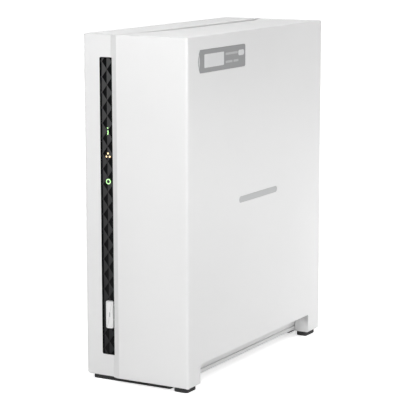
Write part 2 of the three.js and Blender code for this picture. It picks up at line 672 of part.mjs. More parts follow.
function sataSocket() {
  const x = [CASTING_LEFT + 0.1, CASTING_LEFT + 5.4];
  return block(x, [SATA.front, SATA.back], [SATA.boardZ + SATA.sheet, DRIVE.bottom - 0.1]);
}

function addBoards() {
  add("mainboard", mainboard(), GREEN_BOARD);
  BOARD_SCREWS.forEach(([y, z], i) => {
    add("board_screw_" + (i + 1), screw("x", [y, z], BOARD.right, 1, 7), STEEL);
  });
  add("processor", onBoard(PROCESSOR), BLACK_PLASTIC);
  add("heatsink", heatsink(), ALUMINIUM);
  add("memory_chip", onBoard(MEMORY), BLACK_PLASTIC);
  add("coin_cell_holder", coinCellHolder(), BLACK_PLASTIC);
  add("coin_cell", coinCell(), STEEL);
  add("lan_jack", lanJack(), STEEL);
  add("usb_port_lower", usbPort(USB_BOTTOMS[0]), STEEL);
  add("usb_port_upper", usbPort(USB_BOTTOMS[1]), STEEL);
  add("dc_jack", dcJack(), BLACK_PLASTIC);
  add("reset_switch", resetSwitch(), BLACK_PLASTIC);
  add("reset_button", resetButton(), BLACK_PLASTIC);
  add("sata_board", sataBoard(), GREEN_BOARD);
  add("sata_socket", sataSocket(), BLACK_PLASTIC);
}

// ---------------------------------------------------------------------------------------------------
// Rear panel and fan
// ---------------------------------------------------------------------------------------------------

// Slots across the fan's opening, each as long as the circle is wide at its height.
function grilleSlots() {
  const pitch = 4.8;
  const half = 1.5;
  const radius = FAN.bore - 0.6;
  const slots = [];
  for (let i = -4; i <= 4; i++) {
    const z = FAN.z + i * pitch;
    const reach = Math.sqrt(radius ** 2 - (Math.abs(i * pitch) + half) ** 2);
    const outline = rectangle(FAN.x - reach, FAN.x + reach, z - half, z + half, half - 0.05);
    slots.push(prism(outline, "y", REAR_PANEL.front - 1, REAR_PANEL.back + 1, 3));
  }
  return slots;
}

function portOpening(x, z) {
  const margin = 0.3;
  return block(
    [x[0] - margin, x[1] + margin],
    [REAR_PANEL.front - 1, REAR_PANEL.back + 1],
    [z[0] - margin, z[1] + margin],
  );
}

function fanCorners() {
  const corners = [];
  for (const u of [-FAN.screw, FAN.screw]) {
    for (const v of [-FAN.screw, FAN.screw]) corners.push([FAN.x + u, FAN.z + v]);
  }
  return corners;
}

function rearPanel() {
  const { left, right, front, back } = REAR_PANEL;
  const notchZ = RIB_TOP_Z + 0.4; // clears the cover's rear leg
  const railX = BASE_RIGHT - WALL - GAP; // clears the housing's rail
  const outline = polygon([
    [left, FLOOR_TOP + GAP],
    [railX, FLOOR_TOP + GAP],
    [railX, ARCH_TOP_Z + 2 * GAP],
    [BASE_RIGHT, ARCH_TOP_Z + 2 * GAP],
    [BASE_RIGHT, notchZ],
    [right, notchZ],
    [right, INNER_TOP - GAP],
    [left, INNER_TOP - GAP],
  ]);
  const through = [front - 1, back + 1];
  const portX = (height) => [BOARD.right, BOARD.right + height];
  const holes = [
    ...grilleSlots(),
    ...fanCorners().map((at) => rod("y", 1.9, ...through, at)),
    ...COVER_SCREW_ZS.map((z) => rod("y", 1.7, ...through, [COVER_SCREW_X, z])),
    portOpening(portX(DC_JACK.height), [DC_JACK.bottom, DC_JACK.top]),
    portOpening(portX(LAN_JACK.height), [LAN_JACK.bottom, LAN_JACK.top]),
    ...USB_BOTTOMS.map((z) => portOpening(portX(USB_PORT.height), [z, z + USB_PORT.width])),
    rod("y", 1.1, ...through, [RESET_X, RESET_Z]),
    prism(rectangle(...SECURITY_SLOT, 1), "y", ...through),
  ];
  return cut(prism(outline, "y", front, back), ...holes);
}

function fanFrame() {
  const half = FAN.size / 2;
  const at = [FAN.x, FAN.z];
  const outline = rectangle(FAN.x - half, FAN.x + half, FAN.z - half, FAN.z + half, 3);
  const bored = cut(
    prism(outline, "y", FAN_FRONT_Y, FAN_BACK_Y),
    rod("y", FAN.bore, FAN_FRONT_Y - 1, FAN_BACK_Y + 1, at, LARGE_ROUND),
    ...fanCorners().map((corner) => rod("y", 1.75, FAN_FRONT_Y - 1, FAN_BACK_Y + 1, corner)),
  );
  const rearY = [FAN_BACK_Y - 1.8, FAN_BACK_Y];
  const reach = FAN.bore + 0.5;
  const struts = [45, 135].map((degrees) => {
    const bar = new THREE.BoxGeometry(2 * reach, rearY[1] - rearY[0], 2.6);
    bar.rotateY(THREE.MathUtils.degToRad(degrees));
    return solidOf(bar.translate(FAN.x, (rearY[0] + rearY[1]) / 2, FAN.z));
  });
  const hub = rod("y", FAN_HUB_R, ...rearY, at, MEDIUM_ROUND);
  const tube = rod("y", 3.4, FAN_FRONT_Y + 4.4, FAN_BACK_Y - 0.5, at);
  const bearing = rod("y", 1.6, FAN_FRONT_Y + 3, FAN_BACK_Y - 0.6, at);
  return cut(join(bored, ...struts, hub, tube), bearing);
}

function fanRotor() {
  const at = [FAN.x, FAN.z];
  const cupBack = FAN_BACK_Y - 3.1;
  const cup = turned(
    [
      [0, FAN_FRONT_Y + 1.2],
      [FAN_HUB_R - 0.8, FAN_FRONT_Y + 1.2],
      [FAN_HUB_R, FAN_FRONT_Y + 2],
      [FAN_HUB_R, cupBack],
      [8.8, cupBack],
      [8.8, FAN_FRONT_Y + 2.8],
      [1.5, FAN_FRONT_Y + 2.8],
      [1.5, FAN_BACK_Y - 1],
      [0, FAN_BACK_Y - 1],
    ],
    "y",
    at,
  );
  const sweep = cut(
    rod("y", FAN.bore - 0.8, FAN_FRONT_Y + 1.6, cupBack - 0.2, at, LARGE_ROUND),
    rod("y", 9.6, FAN_FRONT_Y, FAN_BACK_Y, at, MEDIUM_ROUND),
  );
  const blades = [];
  for (let i = 0; i < FAN_BLADES; i++) {
    const blade = new THREE.BoxGeometry(15.5, 1.1, 14).translate(16.4, 0, 0);
    blade.rotateX(THREE.MathUtils.degToRad(42));
    blade.rotateY((i / FAN_BLADES) * 2 * Math.PI);
    blade.translate(FAN.x, (FAN_FRONT_Y + cupBack) / 2 + 0.7, FAN.z);
    blades.push(solidOf(blade).intersect(sweep));
  }
  return join(cup, ...blades);
}

// The stator: a ring on the bearing tube with four wound poles, inside the rotor's cup.
function fanStator() {
  const at = [FAN.x, FAN.z];
  const y = [FAN_FRONT_Y + 4.6, FAN_BACK_Y - 3.2];
  const ring = rod("y", 5.2, ...y, at, MEDIUM_ROUND);
  const poleA = block([FAN.x - 7.9, FAN.x + 7.9], [y[0] + 1, y[1] - 1], [FAN.z - 1.6, FAN.z + 1.6]);
  const poleB = block([FAN.x - 1.6, FAN.x + 1.6], [y[0] + 1, y[1] - 1], [FAN.z - 7.9, FAN.z + 7.9]);
  return cut(join(ring, poleA, poleB), rod("y", 3.55, y[0] - 1, y[1] + 1, at));
}

function fanCable() {
  const path = new THREE.CatmullRomCurve3([
    new THREE.Vector3(-20, 63, FAN.z - FAN.size / 2 - 0.5),
    new THREE.Vector3(-20, 62, 118),
    new THREE.Vector3(-20.3, 54, 113),
    new THREE.Vector3(-20.6, 44.5, 107),
    new THREE.Vector3(-20.6, FAN_PLUG.y[0] + 3.5, FAN_PLUG.z[1] + 0.5),
  ]);
  const circle = new THREE.Shape();
  circle.absarc(0, 0, 1.2, 0, 2 * Math.PI);
  const options = { steps: 20, extrudePath: path, bevelEnabled: false, curveSegments: 4 };
  return solidOf(new THREE.ExtrudeGeometry(circle, options));
}

function addRear() {
  add("rear_panel", rearPanel(), WHITE_PLASTIC);
  add("fan_frame", fanFrame(), BLACK_PLASTIC);
  add("fan_rotor", fanRotor(), BLACK_PLASTIC);
  add("fan_stator", fanStator(), COPPER);
  add("fan_cable", fanCable(), BLACK_PLASTIC);
  add("fan_plug", onBoard(FAN_PLUG), CREAM_PLASTIC);
  fanCorners().forEach((at, i) => {
    add("fan_screw_" + (i + 1), screw("y", at, REAR_PANEL.back, 1, 9, 1.6, 2.9), STEEL);
  });
  const names = ["cover_screw_lower", "cover_screw_upper"];
  COVER_SCREW_ZS.forEach((z, i) => {
    add(names[i], screw("y", [COVER_SCREW_X, z], REAR_PANEL.back, 1, 9, 1.4, 3), STEEL);
  });
}

// ---------------------------------------------------------------------------------------------------
// Disk drive and its cage
// ---------------------------------------------------------------------------------------------------

function driveBase() {
  const along = [DRIVE.bottom, DRIVE.top];
  const outline = rectangle(DRIVE.front, DRIVE.back, ...along, 2.5);
  const body = prism(outline, "x", CASTING_LEFT, LID_LEFT);
  const wellX = [WELL_LEFT, LID_LEFT + 1];
  const well = join(
    rod("x", WELL_R, ...wellX, [SPINDLE_Y, SPINDLE_Z], LARGE_ROUND),
    block(wellX, [-30, SPINDLE_Y + WELL_R], [75, SPINDLE_Z - 6]),
    block(wellX, [-30, 37], [40, 76]),
  );
  const notch = block([CASTING_LEFT - 1, CASTING_LEFT + 5.8], [SATA.front - 0.4, SATA.back + 0.4], [27, 36]);
  const sideHoles = DRIVE_SCREW_ZS.flatMap((z) => [
    rod("y", 1.5, DRIVE.front - 1, DRIVE.front + 4, [DRIVE_SCREW_X, z]),
    rod("y", 1.5, DRIVE.back - 4, DRIVE.back + 1, [DRIVE_SCREW_X, z]),
  ]);
  const spindlePost = rod("x", 4, WELL_LEFT - 1, WELL_LEFT + 9, [SPINDLE_Y, SPINDLE_Z]);
  const pivotPost = rod("x", 2.5, WELL_LEFT - 1, LID_LEFT - 1, [PIVOT_Y, PIVOT_Z]);
  return join(cut(body, well, notch, ...sideHoles), spindlePost, pivotPost);
}

// The hub and its two disks, turned as one.
function drivePlatters() {
  const start = WELL_LEFT + 0.5;
  const disks = [start + 3.5, start + 9.5];
  const thick = 1.3;
  const profile = [
    [4.1, start],
    [12.5, start],
    [12.5, disks[0]],
    [DISK_R, disks[0]],
    [DISK_R, disks[0] + thick],
    [12.5, disks[0] + thick],
    [12.5, disks[1]],
    [DISK_R, disks[1]],
    [DISK_R, disks[1] + thick],
    [12.5, disks[1] + thick],
    [12.5, start + 13.6],
    [0, start + 13.6],
    [0, start + 9.4],
    [4.1, start + 9.4],
    [4.1, start],
  ];
  return turned(profile, "x", [SPINDLE_Y, SPINDLE_Z], LARGE_ROUND);
}

// A flat arm in the (y, z) plane, built along +Y from the pivot and then turned to its direction.
function armBlade(x0, x1) {
  const shape = polygon([
    [-2, -6],
    [12, -4.6],
    [ARM_LENGTH, -1.2],
    [ARM_LENGTH, 1.2],
    [12, 4.6],
    [-2, 6],
  ]);
  return prism(shape, "x", x0, x1);
}

function actuatorArm() {
  const start = WELL_LEFT + 0.5;
  const blades = [
    [start + 1.9, start + 2.7],
    [start + 6.7, start + 7.6],
    [start + 12, start + 12.8],
  ].map(([x0, x1]) => armBlade(x0, x1));
  const pivotBlock = rod("x", 7, start, start + 14.4, [0, 0], MEDIUM_ROUND);
  const coil = polygon([
    [-4, -5],
    [-20, -10],
    [-23, 0],
    [-20, 10],
    [-4, 5],
  ]);
  const arm = join(pivotBlock, ...blades, prism(coil, "x", start + 6, start + 8.6));
  const bored = cut(arm, rod("x", 2.6, start - 1, start + 16, [0, 0]));
  return bored.rotate([ARM_PARK_DEG, 0, 0]).translate([0, PIVOT_Y, PIVOT_Z]);
}

function driveLid() {
  const outline = rectangle(DRIVE.front + 0.8, DRIVE.back - 0.8, DRIVE.bottom + 7, DRIVE.top - 0.8, 3);
  return prism(outline, "x", LID_LEFT, DRIVE.right);
}

function driveCage() {
  const { left, right, front, back, bottom, top, sheet } = CAGE;
  const plate = block([left, left + sheet], [front, back], [bottom, top]);
  const frontWall = block([left, right], [front, front + sheet], [bottom, top]);
  const rearWall = block([left, right], [back - sheet, back], [bottom, top]);
  const windows = [];
  for (const z of [64, 106, 148]) {
    windows.push(prism(rectangle(-40, 26, z - 15, z + 15, 4), "x", left - 1, left + sheet + 1, 2));
  }
  const vents = [];
  for (const z of [82, 107, 132]) {
    vents.push(prism(rectangle(0, 14, z - 9, z + 9, 3), "y", front - 1, back + 1, 2));
  }
  const screwHoles = [
    ...CAGE_SCREWS.map((at) => rod("x", 1.5, left - 1, left + sheet + 1, at)),
    ...DRIVE_SCREW_ZS.map((z) => rod("y", 1.6, front - 1, back + 1, [DRIVE_SCREW_X, z])),
  ];
  return cut(join(plate, frontWall, rearWall), ...windows, ...vents, ...screwHoles);
}

function addDrive() {
  add("drive_base", driveBase(), ALUMINIUM);
  add("drive_lid", driveLid(), STEEL);
  add("drive_platters", drivePlatters(), MIRROR_DISK);
  add("actuator_arm", actuatorArm(), ALUMINIUM);
  const boardX = [CASTING_LEFT - 1.6, CASTING_LEFT];
  add("drive_board", block(boardX, [DRIVE.front + 4, DRIVE.back - 4], [DRIVE.bottom + 1, 92]), GREEN_BOARD);
  const plug = block(
    [CASTING_LEFT, CASTING_LEFT + 5.4],
    [SATA.front, SATA.back],
    [DRIVE.bottom, DRIVE.bottom + 7.6],
  );
  add("drive_connector", plug, BLACK_PLASTIC);
  add("drive_cage", driveCage(), STEEL);
  CAGE_SCREWS.forEach((at, i) => {
    add("cage_screw_" + (i + 1), screw("x", at, CAGE.left + CAGE.sheet, 1, 7), STEEL);
  });
  DRIVE_SCREW_ZS.forEach((z, i) => {
    const at = [DRIVE_SCREW_X, z];
    add("drive_screw_front_" + (i + 1), screw("y", at, CAGE.front, -1, 4.2, 1.35), STEEL);
    add("drive_screw_rear_" + (i + 1), screw("y", at, CAGE.back, 1, 4.2, 1.35), STEEL);
  });
}

addShell();
addFront();
addBoards();
addRear();
addDrive();

export default unit;
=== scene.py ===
"""Looks of a one-bay network storage box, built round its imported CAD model.

Everything is in metres in the CAD frame: X to the right, Y from the front to the rear, Z up, with
the origin on the ground under the middle of the box. Sizes below are in millimetres unless a name
says otherwise, and are turned into metres by MM.
"""
import json
import math
import random
import bmesh
import bpy
from mathutils import Matrix, Vector

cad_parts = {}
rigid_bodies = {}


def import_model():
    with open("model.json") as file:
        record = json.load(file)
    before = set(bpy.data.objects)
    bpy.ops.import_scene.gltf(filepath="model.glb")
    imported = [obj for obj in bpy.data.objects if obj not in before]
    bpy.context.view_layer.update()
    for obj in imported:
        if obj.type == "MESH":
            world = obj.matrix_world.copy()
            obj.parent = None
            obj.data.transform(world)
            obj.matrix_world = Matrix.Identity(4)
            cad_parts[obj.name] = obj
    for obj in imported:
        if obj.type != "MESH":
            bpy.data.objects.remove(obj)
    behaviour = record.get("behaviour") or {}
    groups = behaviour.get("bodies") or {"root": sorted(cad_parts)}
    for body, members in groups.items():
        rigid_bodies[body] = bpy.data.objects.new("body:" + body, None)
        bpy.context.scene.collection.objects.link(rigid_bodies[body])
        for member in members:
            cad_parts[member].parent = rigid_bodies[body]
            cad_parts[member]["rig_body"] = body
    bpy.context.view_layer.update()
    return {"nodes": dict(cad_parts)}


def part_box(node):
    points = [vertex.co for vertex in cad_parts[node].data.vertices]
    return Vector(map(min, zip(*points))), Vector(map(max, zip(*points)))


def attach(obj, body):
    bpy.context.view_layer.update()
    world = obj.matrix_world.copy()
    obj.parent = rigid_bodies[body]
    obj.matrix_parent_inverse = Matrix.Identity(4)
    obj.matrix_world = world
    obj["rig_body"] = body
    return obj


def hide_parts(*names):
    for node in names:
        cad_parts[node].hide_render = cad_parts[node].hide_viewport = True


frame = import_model()

MM = 0.001
HOUSING_LOW, HOUSING_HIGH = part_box("left_housing")
COVER_LOW, COVER_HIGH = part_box("right_cover")
STRIP_LOW, STRIP_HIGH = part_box("window_strip")
KEY_LOW, KEY_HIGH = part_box("power_button")

# Shell.
WALL = 2.2 * MM
EDGE_R = 0.6 * MM  # rounding of the shell's outer edges
TOP = HOUSING_HIGH.z
RIGHT = COVER_HIGH.x
LEFT = HOUSING_LOW.x
FRONT = COVER_LOW.y
REAR = COVER_HIGH.y
PANEL_Y = HOUSING_LOW.y
SEAM_X = LEFT + 23 * MM
SLOPE_LEFT = LEFT + 17.8 * MM  # left edge of the sloping step in the front
SLOPE_LAP = 0.6 * MM  # how far that edge reaches over the strip's line, above and below the strip
PAD_DEPTH = 0.8 * MM  # how far the pads at the housing's ends reach below its floor
SEAM_GAP = 0.1 * MM  # gap that shows along the seam on the top
DISH_DEPTH = 1.0 * MM  # scoop in the cover's top
DISH_START = 9 * MM  # flat length at its front
DISH_RISE = 70 * MM  # length over which it deepens
DISH_REAR = 7 * MM  # length over which the scoop in the top runs out at the rear

# Dark strip: the CAD node's flange stands out round the window that shows.
FLANGE = 2.4 * MM
STRIP_LEFT = STRIP_LOW.x + FLANGE
STRIP_RIGHT = STRIP_HIGH.x - FLANGE
STRIP_BOTTOM = STRIP_LOW.z + FLANGE
STRIP_TOP = STRIP_HIGH.z - FLANGE
STRIP_FACE = STRIP_LOW.y
KEY_FLANGE = 1 * MM  # how far the key's flange reaches behind the strip, beyond the key that shows
DIAMOND_HALF_W = 3.07 * MM
DIAMOND_HALF_H = 4.1 * MM
RELIEF = 0.35 * MM


# ---- Node materials ----

class Shader:
    """A node material under construction, with its Principled BSDF and short calls for common nodes."""

    def __init__(self, name, roughness=0.5, metallic=0.0, **inputs):
        self.material = bpy.data.materials.new(name)
        self.material.use_nodes = True
        self.tree = self.material.node_tree
        self.bsdf = self.tree.nodes["Principled BSDF"]
        self.put(self.bsdf, "Roughness", roughness)
        self.put(self.bsdf, "Metallic", metallic)
        for key, value in inputs.items():
            self.put(self.bsdf, key.replace("_", " "), value)
        self.place = self.tree.nodes.new("ShaderNodeTexCoord").outputs["Object"]

    def put(self, node, socket, value):
        target = node.inputs[socket]
        if isinstance(value, bpy.types.NodeSocket):
            self.tree.links.new(value, target)
        else:
            target.default_value = value

    def node(self, kind, inputs=None, **settings):
        made = self.tree.nodes.new(kind)
        for key, value in settings.items():
            setattr(made, key, value)
        for key, value in (inputs or {}).items():
            self.put(made, key, value)
        return made

    def scaled(self, factors):
        """Object coordinates stretched along each axis."""
        made = self.node("ShaderNodeVectorMath", {0: self.place, 1: factors}, operation="MULTIPLY")
        return made.outputs[0]

    def noise(self, scale, detail, rough=0.5, place=None):
        inputs = {"Vector": place or self.place, "Scale": scale, "Detail": detail, "Roughness": rough}
        return self.node("ShaderNodeTexNoise", inputs).outputs["Fac"]

    def span(self, value, low, high, from_low=0.0, from_high=1.0):
        inputs = {"Value": value, "From Min": from_low, "From Max": from_high, "To Min": low, "To Max": high}
        return self.node("ShaderNodeMapRange", inputs).outputs["Result"]

    def math(self, kind, a, b):
        return self.node("ShaderNodeMath", {0: a, 1: b}, operation=kind).outputs[0]

    def mix(self, fac, a, b):
        made = self.node("ShaderNodeMix", data_type="RGBA")
        self.put(made, 0, fac)
        self.put(made, 6, a)
        self.put(made, 7, b)
        return made.outputs[2]

    def colour(self, value):
        self.put(self.bsdf, "Base Color", value)

    def rough(self, value):
        self.put(self.bsdf, "Roughness", value)

    def bump(self, height, distance):
        inputs = {"Height": height, "Distance": distance, "Strength": 1.0}
        made = self.node("ShaderNodeBump", inputs)
        self.put(self.bsdf, "Normal", made.outputs["Normal"])


def rgb(red, green, blue):
    return (red, green, blue, 1.0)


def moulded(name, colour, roughness, shade, grain=0.00002):
    """Moulded plastic: a fine spark-eroded grain with slight drifts of tone and gloss."""
    s = Shader(name, roughness)
    drift = s.noise(18.0, 2.0)
    dark = rgb(*(c * (1.0 - shade) for c in colour))
    s.colour(s.mix(s.span(drift, 0.0, 1.0, 0.35, 0.65), dark, rgb(*colour)))
    fine = s.noise(3500.0, 2.0)
    s.rough(s.span(s.math("ADD", fine, drift), roughness * 0.85, roughness * 1.15, 0.7, 1.3))
    s.bump(fine, grain)
    return s.material


def black_gloss():
    """Black window plastic: facets that face left keep the polished black, and those that face right are
    rougher and painted lighter, as if lit, with that painted light growing towards the top.
    """
    s = Shader("black_gloss", 0.25, Specular_IOR_Level=0.1)
    drift = s.noise(60.0, 3.0)
    lines = s.noise(900.0, 2.0, place=s.scaled((1.0, 1.0, 0.15)))
    normal = s.node("ShaderNodeNewGeometry").outputs["True Normal"]
    right = s.node("ShaderNodeSeparateXYZ", {0: normal}).outputs["X"]
    # Painted light: facets that face right get a lighter colour, as if lit, while those facing left stay
    # black. The same mask also makes them rougher.
    faces_right = s.span(right, 0.0, 1.0, 0.02, 0.06)
    painted_lit_and_etched = s.math("MULTIPLY", faces_right, s.math("LESS_THAN", right, 0.6))
    height = s.node("ShaderNodeSeparateXYZ", {0: s.place}).outputs["Z"]
    # Painted light: the lit facets' colour runs from a dark grey at the strip's bottom to a lighter grey at
    # its top.
    painted_lit_tone = s.mix(s.span(height, 0.0, 1.0, STRIP_BOTTOM, STRIP_TOP), rgb(0.022, 0.022, 0.023),
                  rgb(0.066, 0.066, 0.067))
    black = s.mix(drift, rgb(0.003, 0.003, 0.0035), rgb(0.006, 0.006, 0.0065))
    s.colour(s.mix(painted_lit_and_etched, black, painted_lit_tone))
    s.rough(s.math("ADD", s.span(lines, 0.18, 0.3), s.math("MULTIPLY", painted_lit_and_etched, 0.3)))
    s.bump(lines, 0.000004)
    return s.material


def rubber():
    s = Shader("rubber", 0.85, Specular_IOR_Level=0.3)
    fine = s.noise(1600.0, 4.0, 0.65)
    s.colour(s.mix(fine, rgb(0.034, 0.034, 0.035), rgb(0.07, 0.07, 0.07)))
    s.bump(fine, 0.00006)
    return s.material


def light_guide(name, inner, outer, strength):
    """A lit light guide: brightest where the face looks at the viewer, tinted towards its edges."""
    s = Shader(name, 0.3)
    facing = s.node("ShaderNodeLayerWeight", {"Blend": 0.4}).outputs["Facing"]
    cloud = s.noise(1200.0, 2.0)
    tint = s.mix(s.math("MULTIPLY", s.math("ADD", facing, cloud), 0.6), rgb(*inner), rgb(*outer))
    s.colour(tint)
    s.put(s.bsdf, "Emission Color", tint)
    s.put(s.bsdf, "Emission Strength", strength)
    return s.material


def printed(name, colour, roughness):
    """Printed satin film with a faint fibre in the ink."""
    s = Shader(name, roughness)
    fibre = s.noise(700.0, 4.0, 0.6)
    dark = rgb(*(c * 0.93 for c in colour))
    s.colour(s.mix(fibre, dark, rgb(*colour)))
    s.rough(s.span(fibre, roughness * 0.8, roughness * 1.2))
    s.bump(fibre, 0.000004)
    return s.material


def metal(name, colour, roughness, brush=(1.0, 1.0, 1.0), scale=900.0):
    """Bare or plated metal: streaks or grain that change its gloss, and a slight tarnish."""
    s = Shader(name, roughness, 1.0)
    streak = s.noise(scale, 3.0, 0.6, s.scaled(brush))
    cloud = s.noise(35.0, 3.0)
    dull = rgb(*(c * 0.82 for c in colour))
    s.colour(s.mix(s.span(cloud, 0.0, 1.0, 0.3, 0.7), dull, rgb(*colour)))
    s.rough(s.span(streak, roughness * 0.75, roughness * 1.25, 0.3, 0.7))
    s.bump(streak, 0.000006)
    return s.material


def cast_aluminium():
    s = Shader("cast_aluminium", 0.5, 1.0)
    pits = s.noise(1400.0, 4.0, 0.7)
    cloud = s.noise(40.0, 3.0)
    s.colour(s.mix(cloud, rgb(0.42, 0.43, 0.44), rgb(0.6, 0.61, 0.62)))
    s.rough(s.span(pits, 0.4, 0.62, 0.3, 0.7))
    s.bump(pits, 0.00004)
    return s.material


def disk_mirror():
    """Polished disk with very fine circular marks about its spindle."""
    low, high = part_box("drive_platters")
    s = Shader("disk_mirror", 0.06, 1.0)
    centre = (low + high) / 2
    shifted = s.node("ShaderNodeVectorMath", {0: s.place, 1: centre}, operation="SUBTRACT").outputs[0]
    flat = s.node("ShaderNodeVectorMath", {0: shifted, 1: (0.0, 1.0, 1.0)}, operation="MULTIPLY").outputs[0]
    radius = s.node("ShaderNodeVectorMath", {0: flat}, operation="LENGTH").outputs["Value"]
    rings = s.node("ShaderNodeCombineXYZ", {"X": s.math("MULTIPLY", radius, 2500.0)}).outputs[0]
    tracks = s.noise(1.0, 2.0, 0.5, rings)
    s.colour(s.mix(tracks, rgb(0.78, 0.79, 0.8), rgb(0.88, 0.89, 0.9)))
    s.rough(s.span(tracks, 0.04, 0.12))
    return s.material


def circuit_board():
    """Green solder mask over tracks: copper lines lighten and lift it, with plated vias here and there."""
    s = Shader("circuit_board", 0.32, Coat_Weight=0.3, Coat_Roughness=0.15)
    turn = math.radians(90)
    turned = s.node("ShaderNodeMapping", {"Vector": s.place, "Rotation": (turn, 0.0, turn)}).outputs[0]
    bricks = {"Vector": turned, "Scale": 240.0, "Mortar Size": 0.05, "Bias": -0.2,
              "Brick Width": 1.4, "Row Height": 0.35}
    grid = s.node("ShaderNodeTexBrick", bricks, offset=0.37)
    tracks = s.math("SUBTRACT", 1.0, grid.outputs["Fac"])
    patches = s.span(s.noise(110.0, 2.0), 0.0, 1.0, 0.45, 0.52)
    lines = s.math("MULTIPLY", tracks, patches)
    mask = s.mix(lines, rgb(0.006, 0.055, 0.022), rgb(0.018, 0.12, 0.045))
    cells = s.node("ShaderNodeTexVoronoi", {"Vector": s.place, "Scale": 330.0, "Randomness": 0.9})
    via = s.math("LESS_THAN", cells.outputs["Distance"], 0.13)
    s.colour(s.mix(via, mask, rgb(0.42, 0.4, 0.28)))
    s.rough(s.span(lines, 0.36, 0.27))
    s.bump(lines, 0.00003)
    return s.material


def copper_winding():
    s = Shader("copper_winding", 0.28, 1.0)
    wire = s.node("ShaderNodeTexWave", {"Vector": s.place, "Scale": 420.0, "Distortion": 0.4},
                  bands_direction="Y").outputs["Fac"]
    s.colour(s.mix(wire, rgb(0.3, 0.1, 0.04), rgb(0.75, 0.36, 0.17)))
    s.bump(wire, 0.00012)
    return s.material


def cable_white():
    """Flat cable: parallel conductors show as ribs."""
    s = Shader("cable_white", 0.45)
    wave = {"Vector": s.place, "Scale": 300.0}
    ribs = s.node("ShaderNodeTexWave", wave, bands_direction="Z").outputs["Fac"]
    s.colour(s.mix(ribs, rgb(0.5, 0.51, 0.53), rgb(0.78, 0.79, 0.8)))
    s.bump(ribs, 0.00008)
    return s.material


MATERIALS = {
    "steel": metal("steel", (0.5, 0.507, 0.515), 0.34, (1.0, 0.06, 1.0)),
    "screw_steel": metal("screw_steel", (0.55, 0.555, 0.56), 0.28, scale=1500.0),
    "bright_nickel": metal("bright_nickel", (0.74, 0.73, 0.7), 0.2, (1.0, 0.1, 1.0)),
    "cast_aluminium": cast_aluminium(),
    "heatsink_aluminium": metal("heatsink_aluminium", (0.7, 0.71, 0.72), 0.35, (1.0, 1.0, 0.03), 1200.0),
    "disk_mirror": disk_mirror(),
    "circuit_board": circuit_board(),
    "copper_winding": copper_winding(),
    "connector_cream": moulded("connector_cream", (0.75, 0.7, 0.57), 0.45, 0.05),
    "cable_white": cable_white(),
    "drive_label": printed("drive_label", (0.72, 0.725, 0.73), 0.42),
    "gold": metal("gold", (0.83, 0.61, 0.28), 0.25, scale=2000.0),
    "white_plastic": moulded("white_plastic", (0.80, 0.80, 0.80), 0.42, 0.015),
    "white_key": moulded("white_key", (0.84, 0.84, 0.84), 0.3, 0.01, 0.00001),
    "black_plastic": moulded("black_plastic", (0.022, 0.022, 0.024), 0.45, 0.2, 0.00003),
    "black_gloss": black_gloss(),
    "rubber": rubber(),
    "green_light": light_guide("green_light", (0.62, 0.95, 0.48), (0.25, 0.7, 0.2), 0.8),
    "amber_light": light_guide("amber_light", (1.0, 0.86, 0.6), (1.0, 0.55, 0.12), 0.95),
    "grey_label": printed("grey_label", (0.328, 0.331, 0.335), 0.4),
    "grey_ink": printed("grey_ink", (0.50, 0.505, 0.51), 0.4),
    "pale_print": printed("pale_print", (0.74, 0.745, 0.75), 0.4),
}


# ---- Meshes ----

def rounded(u0, u1, v0, v1, radius, steps=6):
    """The points of a rectangle with round corners, anticlockwise."""
    corners = [(u1 - radius, v0 + radius, -90), (u1 - radius, v1 - radius, 0),
               (u0 + radius, v1 - radius, 90), (u0 + radius, v0 + radius, 180)]
    points = []
    for cu, cv, start in corners:
        for i in range(steps + 1):
            angle = math.radians(start + 90 * i / steps)
            points.append((cu + radius * math.cos(angle), cv + radius * math.sin(angle)))
    return points


def disc(u, v, radius, steps):
    turns = [2 * math.pi * i / steps for i in range(steps)]
    return [(u + radius * math.cos(a), v + radius * math.sin(a)) for a in turns]


def inset(points, distance):
    """A convex outline moved inwards by a distance."""
    count = len(points)
    result = []
    for i, (u, v) in enumerate(points):
        before, after = points[i - 1], points[(i + 1) % count]
        a = Vector((u - before[0], v - before[1])).normalized()
        b = Vector((after[0] - u, after[1] - v)).normalized()
        normal = Vector((-(a.y + b.y), a.x + b.x)).normalized()
        reach = distance / max(0.5, normal.dot(Vector((-a.y, a.x))))
        result.append((u + normal.x * reach, v + normal.y * reach))
    return result


def to_space(axis, along, u, v):
    """A point from its place along an axis and its two other coordinates, in x, y, z order."""
    return {"x": Vector((along, u, v)), "y": Vector((u, along, v)), "z": Vector((u, v, along))}[axis]


def add_rings(bm, rings, closed_ends=True):
    """Joins rings of equally many points into a skin, with flat ends."""
    made = [[bm.verts.new(p) for p in ring] for ring in rings]
    count = len(made[0])
    for low, high in zip(made, made[1:]):
        for i in range(count):
            j = (i + 1) % count
            bm.faces.new((low[i], low[j], high[j], high[i]))
    if closed_ends:
        bm.faces.new(made[0][::-1])
        bm.faces.new(made[-1])


def contour(bm, outline, axis, profile):
    """A closed solid whose rings follow an outline, from [inset, place along the axis] pairs."""
    rings = []
    for distance, along in profile:
        shape = inset(outline, distance) if distance else outline
        rings.append([to_space(axis, along, u, v) for u, v in shape])
    add_rings(bm, rings)
    bmesh.ops.recalc_face_normals(bm, faces=bm.faces)


def quarter(radius, face, sense, steps=4):
    """Profile pairs of a round rim that ends in a face."""
    pairs = []
    for i in range(steps + 1):
        angle = math.pi / 2 * i / steps
        pairs.append((radius * (1 - math.cos(angle)), face - sense * radius * (1 - math.sin(angle))))
    return pairs


def slab(bm, outline, axis, back, face, radius, steps=4):
    """A plate with a round rim on its face side, between two places along an axis."""
    sense = 1 if face > back else -1
    radius = min(radius, abs(face - back) * 0.9)
    contour(bm, outline, axis, [(0.0, back)] + quarter(radius, face, sense, steps))


def box_slab(bm, low, high, radius):
    """A block between two corners, with round edges along X and a round rim at its high end."""
    slab(bm, rounded(low.y, high.y, low.z, high.z, radius, 3), "x", low.x, high.x, radius, 3)


